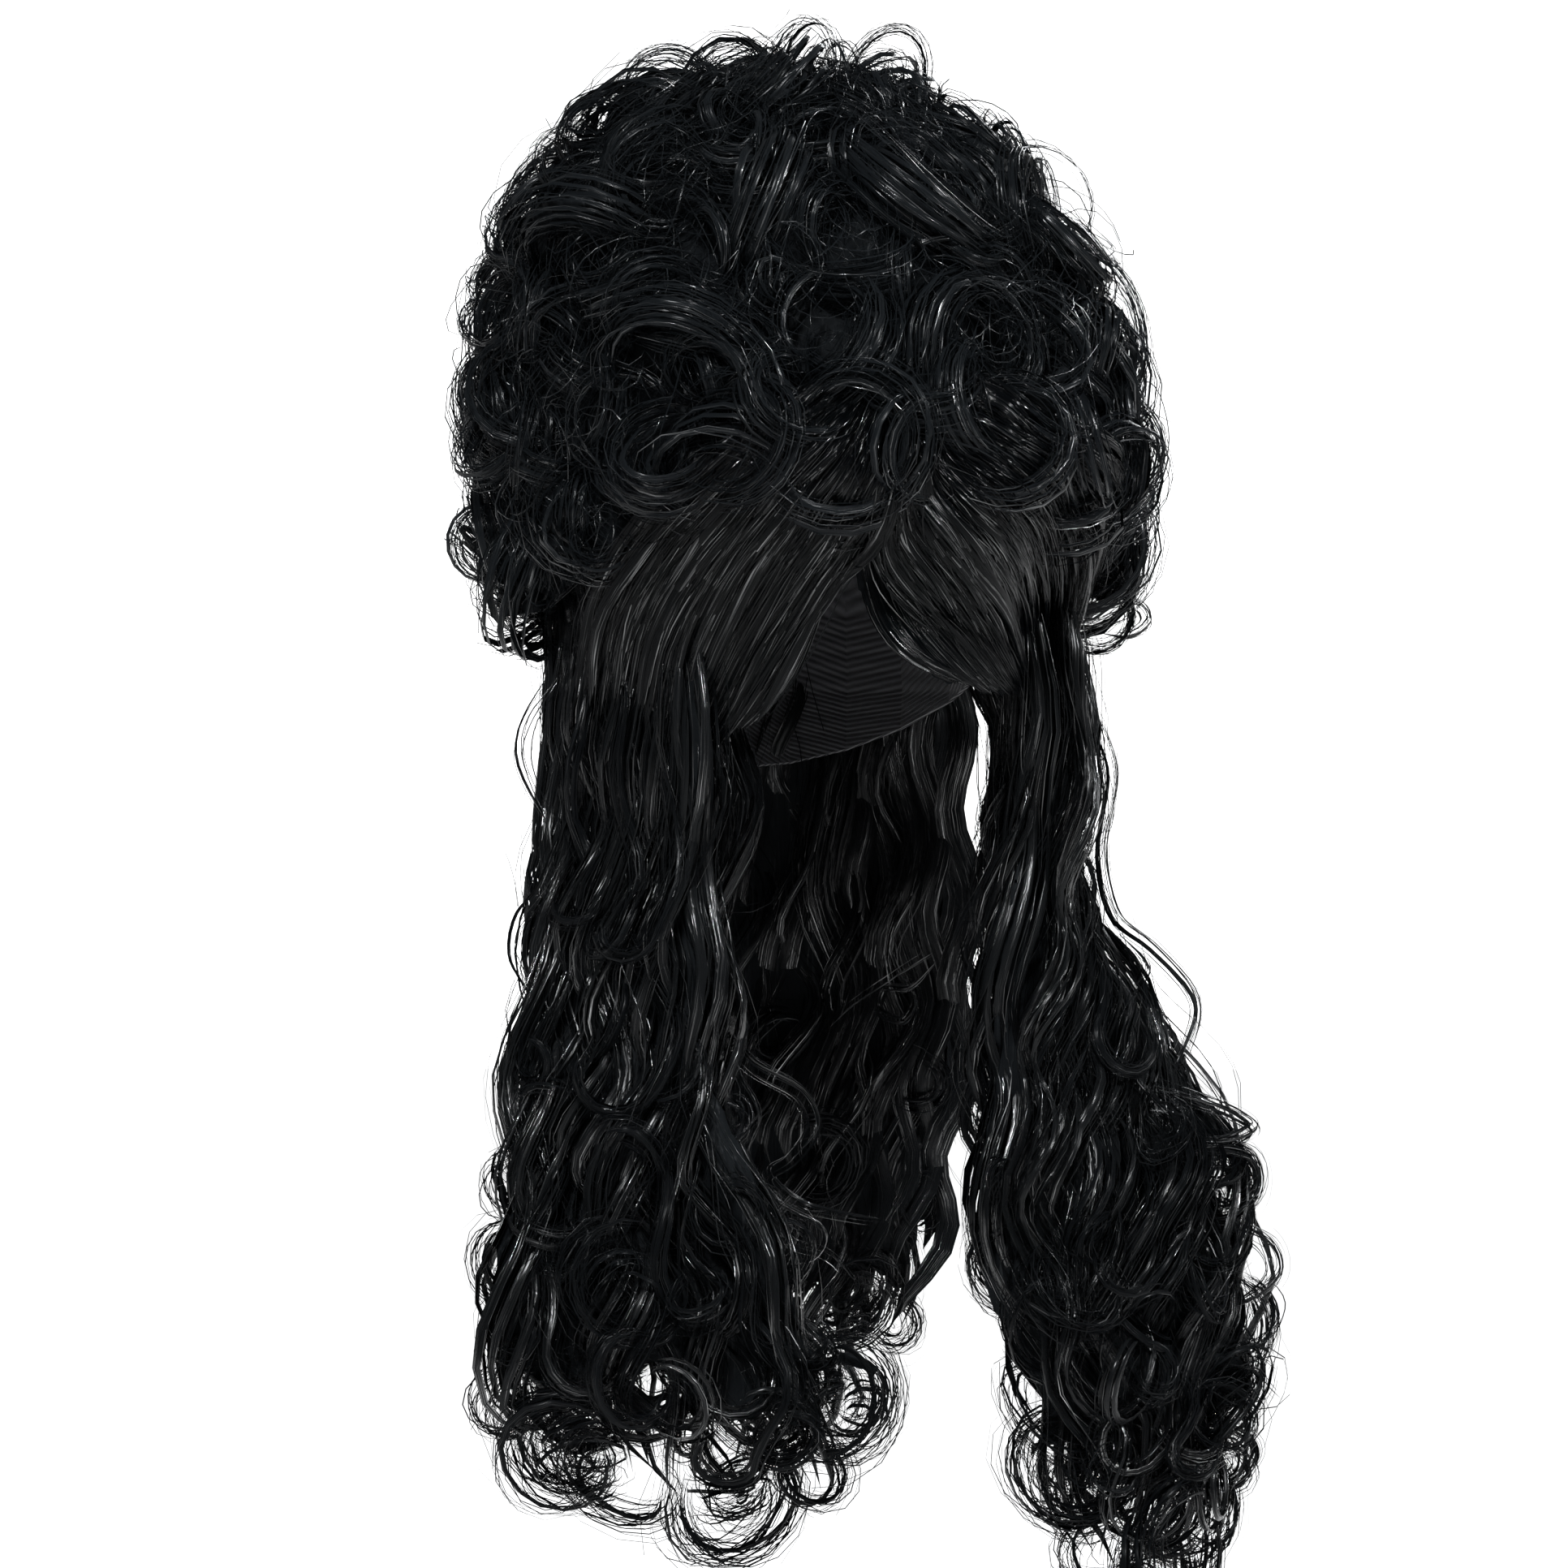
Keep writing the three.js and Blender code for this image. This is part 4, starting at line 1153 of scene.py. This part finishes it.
def stray_locks(rng, bundle):
    """Thin locks and loops that leave the mass where the photograph shows them."""
    for depth_start, depth_end, strands, half_size, pixels in STRAY_LOCKS:
        depths = np.linspace(depth_start, depth_end, len(pixels))
        depths = depths + STRAY_SWING * np.sin(1.9 * np.arange(len(pixels)))
        keys = np.array([photo_point(c, r, d) for (c, r), d in zip(pixels, depths)])
        course = resampled(smooth_course(keys[None], 12 * len(keys))[0], *STRAY_STEP)
        wide = unit(np.cross(course[1] - course[0], TOWARD))
        sizes = ((half_size, half_size), (half_size, half_size), (0.6 * half_size, 2))
        dress_clump(
            rng, bundle, course, wide, sizes, strands // 5, lock_width=0.9, strands=strands,
            strand_width=0.2,
        )


def smooth_course(keys, steps):
    """Catmull-Rom courses (paths, steps, 3) through keys (paths, points, 3)."""
    first = 2 * keys[:, :1] - keys[:, 1:2]
    last = 2 * keys[:, -1:] - keys[:, -2:-1]
    knots = np.concatenate([first, keys, last], axis=1)
    place = np.linspace(0, keys.shape[1] - 1, steps)
    low = np.minimum(np.floor(place).astype(int), keys.shape[1] - 2)
    t = (place - low)[None, :, None]
    a, b, c, d = (knots[:, low + i] for i in range(4))
    return 0.5 * (
        2 * b
        + (c - a) * t
        + (2 * a - 5 * b + 4 * c - d) * t**2
        + (3 * b - a - 3 * c + d) * t**3
    )


# The fringe


def forehead_point(x, drop, lift):
    """Places on the forehead, lifted off the cap, and farther at the roots under the beehive."""
    root_share = np.clip(1 - drop / FRINGE_ROOT_BEND, 0, 1)
    wall = CAP_REACH + 0.6 * FRINGE_THICKNESS + lift + FRINGE_ROOT_FORE * root_share**2
    level = (HEAD_HALF_HEIGHT - ROOT_DROP - drop) / (HEAD_HALF_HEIGHT + wall)
    side = x / (HEAD_HALF_WIDTH + wall)
    fore = np.sqrt(np.maximum(0.02, 1 - level**2 - side**2))
    return np.stack([x, -fore * (HEAD_HALF_LENGTH + wall), -ROOT_DROP - drop], axis=-1)


def fringe_strands(rng, bundle, locks, strands, flat_locks):
    """Combed hair that sweeps over the forehead from the roots to the temple."""
    kinds = ((strands, COMBED_STRAND, 0.0), (flat_locks, COMBED_LOCK, 0.7))
    for count, half_width, half_thickness in kinds:
        place = rng.uniform(0, 1, count) * (len(locks) - 1)
        columns = [np.interp(place, np.arange(len(locks)), locks[:, i]) for i in range(5)]
        root_x, mid_x, tip_x, mid_drop, tip_drop = columns
        reach = 1 - 0.18 * rng.uniform(0, 1, count) ** 2
        share = np.linspace(0, 1, FRINGE_POINTS)[None] * reach[:, None]
        x = bend(share, root_x, mid_x, tip_x) * HEAD_HALF_WIDTH
        drop = bend(share, np.full(count, -0.06), mid_drop, tip_drop) * HEAD_HALF_HEIGHT
        lift = rng.uniform(-3.5, 4.5, (count, 1)) + 2.0 * np.sin(math.pi * share)
        stray = 1.2 * rng.normal(size=(count, 1)) * share
        wave = 1.3 * np.sin(2.5 * math.pi * share + place[:, None] * 2)
        points = forehead_point(x + stray + wave * share, drop + stray, lift)
        outward = unit(points[:, 0] * np.array([1, 1, 0]))
        across = unit(np.cross(outward, points[:, 1] - points[:, 0]))
        width = half_width * rng.uniform(0.75, 1.3, count)
        bundle.add(points, across, width, half_thickness, rng.uniform(0, 1, count))


def bend(share, root, middle, tip):
    """Smooth course through three values at shares 0, one half and 1."""
    root, middle, tip = root[:, None], middle[:, None], tip[:, None]
    first = root * (share - 0.5) * (share - 1) * 2
    second = middle * share * (share - 1) * -4
    third = tip * share * (share - 0.5) * 2
    return first + second + third


def swept_hair(rng, bundle, rows, strands, locks, shortest):
    """Hair combed from the beehive's front over its edge, down to the fringe and temples."""
    keys = np.array(rows, float)
    kinds = ((strands, COMBED_STRAND, 2.6), (locks, COMBED_LOCK, 1.8))
    for count, half_width, loose in kinds:
        place = rng.uniform(0, 1, count) * (len(rows) - 1)
        low = np.minimum(np.floor(place).astype(int), len(rows) - 2)
        rest = (place - low)[:, None, None]
        chosen = keys[low] * (1 - rest) + keys[low + 1] * rest
        chosen = chosen + loose * rng.normal(size=(count, 1, 3))
        chosen = chosen + 0.8 * rng.normal(size=chosen.shape)
        paths = cut_ends(rng, smooth_course(chosen, SWEEP_POINTS), shortest)
        outward = unit(paths[:, 0] * np.array([1, 1, 0]))
        run = FULL_TURN * SWEEP_WAVES * np.linspace(0, 1, SWEEP_POINTS)[None]
        run = run + 1.3 * place[:, None] + 0.3 * rng.normal(size=(count, 1))
        across = unit(np.cross(outward, paths[:, 1] - paths[:, 0]))
        paths = paths + outward[:, None] * (SWEEP_WAVE_HEIGHT * np.sin(run))[..., None]
        paths = paths + across[:, None] * (SWEEP_SWING * np.cos(0.7 * run))[..., None]
        width = half_width * rng.uniform(0.6, 1.4, count)
        bundle.add(paths, across, width, 0.3 * width, rng.uniform(0, 1, count))


# Backings


def ragged(x, y):
    """Height of the waves along a backing's lower end."""
    across = math.sin(x / RAGGED_ACROSS + 2 * math.sin(y / RAGGED_DRIFT))
    return RAGGED_END * (across + math.cos(y / RAGGED_ALONG))


def end_above(mesh, keep):
    """Takes off a backing's lower end along a ragged surface, and closes the hole.

    keep is the share of its height that stays. Below it only strands hang.
    """
    shape = bmesh.new()
    shape.from_mesh(mesh)
    heights = [vertex.co.z for vertex in shape.verts]
    level = max(heights) - keep * (max(heights) - min(heights))
    for vertex in shape.verts:
        vertex.co.z += ragged(vertex.co.x, vertex.co.y)
    whole = [*shape.verts, *shape.edges, *shape.faces]
    bmesh.ops.bisect_plane(
        shape, geom=whole, plane_co=(0, 0, level), plane_no=(0, 0, -1), clear_outer=True
    )
    rim = [edge for edge in shape.edges if edge.is_boundary]
    bmesh.ops.holes_fill(shape, edges=rim, sides=0)
    bmesh.ops.triangulate(shape, faces=[face for face in shape.faces if len(face.verts) > 4])
    for vertex in shape.verts:
        vertex.co.z -= ragged(vertex.co.x, vertex.co.y)
    shape.to_mesh(mesh)
    shape.free()


def backing(node, material, slot, voxel, shrink, rough, keep):
    """Dark mass of hair under the strands: the solid remeshed, shrunk and roughened."""
    name = node + "_backing"
    piece = bpy.data.objects.new(name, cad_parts[node].data.copy())
    bpy.context.scene.collection.objects.link(piece)
    remesh = piece.modifiers.new("remesh", "REMESH")
    remesh.mode = "VOXEL"
    remesh.voxel_size = voxel * MM
    smooth = piece.modifiers.new("smooth", "SMOOTH")
    smooth.iterations = 3
    smooth.factor = 0.6
    depsgraph = bpy.context.evaluated_depsgraph_get()
    mesh = bpy.data.meshes.new_from_object(piece.evaluated_get(depsgraph))
    bpy.data.objects.remove(piece)
    if keep < 1:
        end_above(mesh, keep)
    count = len(mesh.vertices)
    points = np.empty(count * 3)
    mesh.vertices.foreach_get("co", points)
    normals = np.empty(count * 3)
    mesh.vertices.foreach_get("normal", normals)
    points, normals = points.reshape(-1, 3) / MM, normals.reshape(-1, 3)
    x, y, z = points.T
    lump = np.sin(x / 5.1 + 1.3 * np.sin(z / 9)) * np.sin(y / 4.7 + np.cos(z / 7))
    lump = lump + 0.6 * np.sin(z / 3.9 + x / 11)
    points = points + normals * (rough * lump - shrink)[:, None]
    mesh.vertices.foreach_set("co", (points * MM).astype(np.float32).ravel())
    mesh.polygons.foreach_set("use_smooth", np.ones(len(mesh.polygons), bool))
    mesh.update()
    mesh.name = name
    piece_of(name, mesh, material, slot, node)


# Materials


def new_material(name):
    """A new material with its node tree and shader."""
    material = bpy.data.materials.new(name)
    material.use_nodes = True
    return material, material.node_tree, material.node_tree.nodes["Principled BSDF"]


def feed(tree, node, inputs):
    """Gives a node's inputs their values, or links them to other nodes' outputs."""
    for socket, value in inputs.items():
        if isinstance(value, bpy.types.NodeSocket):
            tree.links.new(value, node.inputs[socket])
        else:
            node.inputs[socket].default_value = value


def output_of(tree, kind, output, inputs, **settings):
    """An output of a new node that has the inputs and settings given."""
    node = tree.nodes.new("ShaderNode" + kind)
    for setting, value in settings.items():
        setattr(node, setting, value)
    feed(tree, node, inputs)
    return node.outputs[output]


def ranged(tree, value, low, high):
    """A value from 0 to 1 brought into another range."""
    return output_of(tree, "MapRange", "Result", {"Value": value, "To Min": low, "To Max": high})


def tinted(tree, value, dark, light):
    """Colour that runs from dark to light as a value runs from 0 to 1."""
    colour = output_of(tree, "ValToRGB", "Color", {"Fac": value})
    ends = colour.node.color_ramp.elements
    ends[0].color = (*dark, 1)
    ends[1].color = (*light, 1)
    return colour


def relief(tree, height, strength, distance):
    """Normals of a relief, its distance in metres."""
    inputs = {"Height": height, "Strength": strength, "Distance": distance}
    return output_of(tree, "Bump", "Normal", inputs)


def streaks(tree, vector, pace, detail, low, high):
    """Noise drawn out along the hair, sharpened to run from 0 to 1."""
    place = output_of(tree, "Mapping", "Vector", {"Vector": vector, "Scale": pace})
    noise = output_of(tree, "TexNoise", "Fac", {"Vector": place, "Scale": 1.0, "Detail": detail})
    inputs = {"Value": noise, "From Min": low, "From Max": high}
    return output_of(tree, "MapRange", "Result", inputs, interpolation_type="SMOOTHSTEP")


def hair_material(name, colour, roughness, gloss, stretch, has_flow, density=1.5):
    """Black synthetic hair: streaks along the hair in its tone, gloss and relief. The lighter colour
    on the glossy streaks is partly random tone and partly painted sheen.

    stretch gives the streaks' pace. It follows the strands' flow, or the axes of the piece for
    backings, which have none. gloss is the brightest streak's share of a full reflection,
    which grows with density, the fibre's refraction.
    """
    material, tree, shader = new_material(name)
    if has_flow:
        vector = output_of(tree, "Attribute", "Vector", {}, attribute_name="flow")
    else:
        vector = output_of(tree, "TexCoord", "Object", {})
    fine = streaks(tree, vector, stretch, *FINE_STREAKS)
    broad = streaks(tree, vector, tuple(BROAD_PACE * pace for pace in stretch), *BROAD_STREAKS)
    streak = output_of(tree, "Math", "Value", {0: fine, 1: broad}, operation="MULTIPLY")
    # Partly painted sheen: the colour runs lighter on the glossier streaks, as well as varying at
    # random from hair to hair
    dark, light = (tuple(share * c for c in colour) for share in (0.8, 1.5))
    inputs = {
        "IOR": density,
        "Base Color": tinted(tree, streak, dark, light),
        "Specular IOR Level": ranged(tree, streak, DULL_GLOSS, gloss),
        "Roughness": ranged(tree, streak, roughness + ROUGHER, roughness - SMOOTHER),
        "Normal": relief(tree, fine, *HAIR_RELIEF),
    }
    feed(tree, shader, inputs)
    return material


def net_material(name):
    """Matte elastic net: fine crossed threads with rows sewn across them."""
    material, tree, shader = new_material(name)
    place = output_of(tree, "TexCoord", "Object", {})

    def waves(direction, scale, distortion):
        inputs = {"Vector": place, "Scale": scale, "Distortion": distortion}
        return output_of(
            tree, "TexWave", "Fac", inputs, wave_type="BANDS", bands_direction=direction
        )

    threads = waves("DIAGONAL", 260, 0.6)
    rows = waves("Z", 36, 0.4)
    height = output_of(tree, "Math", "Value", {0: threads, 1: rows}, operation="ADD")
    inputs = {
        "Specular IOR Level": 0.3,
        "Sheen Weight": 0.15,
        "Base Color": tinted(tree, threads, (0.004, 0.004, 0.005), (0.02, 0.02, 0.023)),
        "Roughness": ranged(tree, rows, 0.7, 0.95),
        "Normal": relief(tree, height, *NET_RELIEF),
    }
    feed(tree, shader, inputs)
    return material


# Studio


def plain_material(name, colour):
    """A matte colour that glows by itself, so that it is even in the picture."""
    material, tree, shader = new_material(name)
    inputs = {
        "Base Color": (*colour, 1),
        "Roughness": 0.9,
        "Emission Color": (*colour, 1),
        "Emission Strength": 1.0,
    }
    feed(tree, shader, inputs)
    return material


def stage():
    """Pale floor far below the wig, and a white surround that casts no light on it."""
    bpy.ops.mesh.primitive_plane_add(size=FLOOR_SIZE, location=(0, 0, FLOOR_HEIGHT))
    floor = bpy.context.object
    floor.name = "floor"
    floor.data.materials.append(plain_material("pale_floor", (0.95, 0.95, 0.95)))
    bpy.ops.mesh.primitive_uv_sphere_add(radius=SURROUND_RADIUS, segments=48, ring_count=24)
    surround = bpy.context.object
    surround.name = "surround"
    surround.data.materials.append(plain_material("white_surround", (1, 1, 1)))
    for ray in ("diffuse", "glossy", "transmission", "shadow"):
        setattr(surround, "visible_" + ray, False)


def area_light(name, place, size, power):
    """A round light that shines on the wig's middle."""
    data = bpy.data.lights.new(name, "AREA")
    data.shape = "DISK"
    data.size = size
    data.energy = power
    data.color = LIGHT_COLOUR
    light = bpy.data.objects.new(name, data)
    light.location = place
    light.rotation_mode = "QUATERNION"
    light.rotation_quaternion = (Vector(LIGHT_AIM) - Vector(place)).to_track_quat("-Z", "Y")
    bpy.context.scene.collection.objects.link(light)


def studio():
    """Even pale surroundings, and the lights."""
    world = bpy.data.worlds.new("studio")
    world.use_nodes = True
    sky = world.node_tree.nodes["Background"]
    sky.inputs["Color"].default_value = (*SKY_COLOUR, 1)
    sky.inputs["Strength"].default_value = SKY_STRENGTH
    bpy.context.scene.world = world
    for name, (place, size, power) in LIGHTS.items():
        area_light(name, place, size, power)
    bpy.context.scene.view_settings.view_transform = "Standard"


def camera():
    """Camera at the photograph's angle and distance, framed on the wig."""
    sensor = 36
    aim = (RIGHT * AIM_ASIDE + UP * AIM_HEIGHT) * MM
    data = bpy.data.cameras.new("camera")
    data.sensor_width = sensor
    data.lens = sensor * CAMERA_DISTANCE / (PHOTO_SIZE * PIXEL)
    data.clip_end = 50
    holder = bpy.data.objects.new("camera", data)
    holder.location = Vector(aim + TOWARD * CAMERA_DISTANCE * MM)
    holder.rotation_mode = "QUATERNION"
    holder.rotation_quaternion = Vector(-TOWARD).to_track_quat("-Z", "Y")
    bpy.context.scene.collection.objects.link(holder)
    bpy.context.scene.camera = holder


# The wig

camera()
studio()
stage()

# Name, colour, roughness, gloss, pace of the streaks, whether they follow the flow, refraction
strand_hair = hair_material("strand_hair", BLACK, 0.18, 1.0, FLOW, True, 1.68)
fall_hair = hair_material("fall_strand_hair", LONG_BLACK, 0.15, 1.0, FLOW, True, 2.05)
# Painted shade: the combed hair takes a much darker copy of the hair colour, to offset the key light
# that falls full on it
fringe_hair = hair_material("shaded_fringe_strand_hair", SHADED_COMBED_BLACK, 0.13, 1.0, FLOW, True, 1.68)
# Painted shade: a darker copy of the hair colour for the low tips and curls, with less gloss
shaded_tip_hair = hair_material("shaded_tip_strand_hair", SHADED_TIP_BLACK, 0.2, 0.45, FLOW, True)
mass_hair = hair_material("mass_hair", BLACK, 0.6, 0.16, MASS_STREAKS, False)
fall_mass_hair = hair_material("fall_mass_hair", BLACK, 0.6, 0.16, FALL_MASS_STREAKS, False)

# Backings: node, material, slot, then voxel size, shrink and roughness in millimetres, and the
# share of the height that stays
BACKINGS = (
    ("beehive", mass_hair, "crown_hair", 6.0, 9.0, 1.2, 1.0),
    ("fringe_long", mass_hair, "fringe_hair", 3.0, 1.5, 0.15, 1.0),
    ("fringe_short", mass_hair, "fringe_hair", 3.0, 1.5, 0.15, 1.0),
    ("fall_right", fall_mass_hair, "fall_hair", 5.5, 4.4, 0.5, FALL_KEEP),
    ("fall_left", fall_mass_hair, "fall_hair", 5.5, 4.4, 0.5, FALL_KEEP),
    ("fall_back", fall_mass_hair, "fall_hair", 5.5, 3.6, 0.5, FALL_KEEP),
)
for backing_row in BACKINGS:
    backing(*backing_row)

# Strands of each piece: its name, material and slot, its maker, the seed of its random draws,
# and what else the maker takes, such as how many curls, clumps or strands to make
CROWN = (strand_hair, "crown_hair")
FRINGE = (fringe_hair, "fringe_hair")
FALL = (fall_hair, "fall_hair")
# The falls' tips and low curls take the copy of the hair with painted shade
TIPS = (shaded_tip_hair, "fall_hair")
HAIR = (
    ("beehive_curls", CROWN, main_curls, 11),
    ("beehive_front_curls", CROWN, fill_curls, 31, 120, 0.0),
    ("beehive_back_curls", CROWN, fill_curls, 32, 66, math.pi),
    ("beehive_lower_curls", CROWN, front_curls, 37),
    ("beehive_side_curls", CROWN, side_curls, 35, 28),
    ("beehive_loops", CROWN, outer_loops, 23),
    ("beehive_wisps", CROWN, edge_wisps, 33, 260),
    ("beehive_fine_hair", CROWN, mound_strands, 41, 5000, 9, 48),
    ("fringe_long_hair", FRINGE, fringe_strands, 51, LONG_FRINGE_LOCKS, 700, 80),
    ("fringe_short_hair", FRINGE, fringe_strands, 52, SHORT_FRINGE_LOCKS, 520, 60),
    ("fringe_long_sweep", FRINGE, swept_hair, 53, LONG_SWEEP, 620, 120, 0.7),
    ("fringe_short_sweep", FRINGE, swept_hair, 54, SHORT_SWEEP, 440, 90, 0.7),
    ("temple_right_sweep", FRINGE, swept_hair, 55, RIGHT_TEMPLE_SWEEP, 300, 56, 0.45),
    ("temple_left_sweep", FRINGE, swept_hair, 56, LEFT_TEMPLE_SWEEP, 280, 54, 0.45),
    ("fall_right_hair", FALL, fall_locks, 61, RIGHT_FALL, 24),
    ("fall_left_hair", FALL, fall_locks, 62, LEFT_FALL, 24),
    ("fall_back_hair", FALL, fall_locks, 63, BACK_FALL, 14),
    ("fall_right_tips", TIPS, tip_curls, 64, RIGHT_FALL, 26),
    ("fall_left_tips", TIPS, tip_curls, 65, LEFT_FALL, 26),
    ("fall_back_tips", TIPS, tip_curls, 66, BACK_FALL, 24),
    ("fall_right_curls", TIPS, chest_curls, 71, RIGHT_FALL, 22, 50),
    ("fall_left_curls", TIPS, chest_curls, 72, LEFT_FALL, 22, 50),
    ("stray_locks", FALL, stray_locks, 91),
)
for hair_name, (hair_look, hair_slot), maker, seed, *wanted in HAIR:
    hair = Strands()
    maker(np.random.default_rng(seed), hair, *wanted)
    piece_of(hair_name, hair.mesh(hair_name), hair_look, hair_slot)

net = net_material("cap_net_threads")
for cap_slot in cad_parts["wig_cap"].material_slots:
    cap_slot.material = net
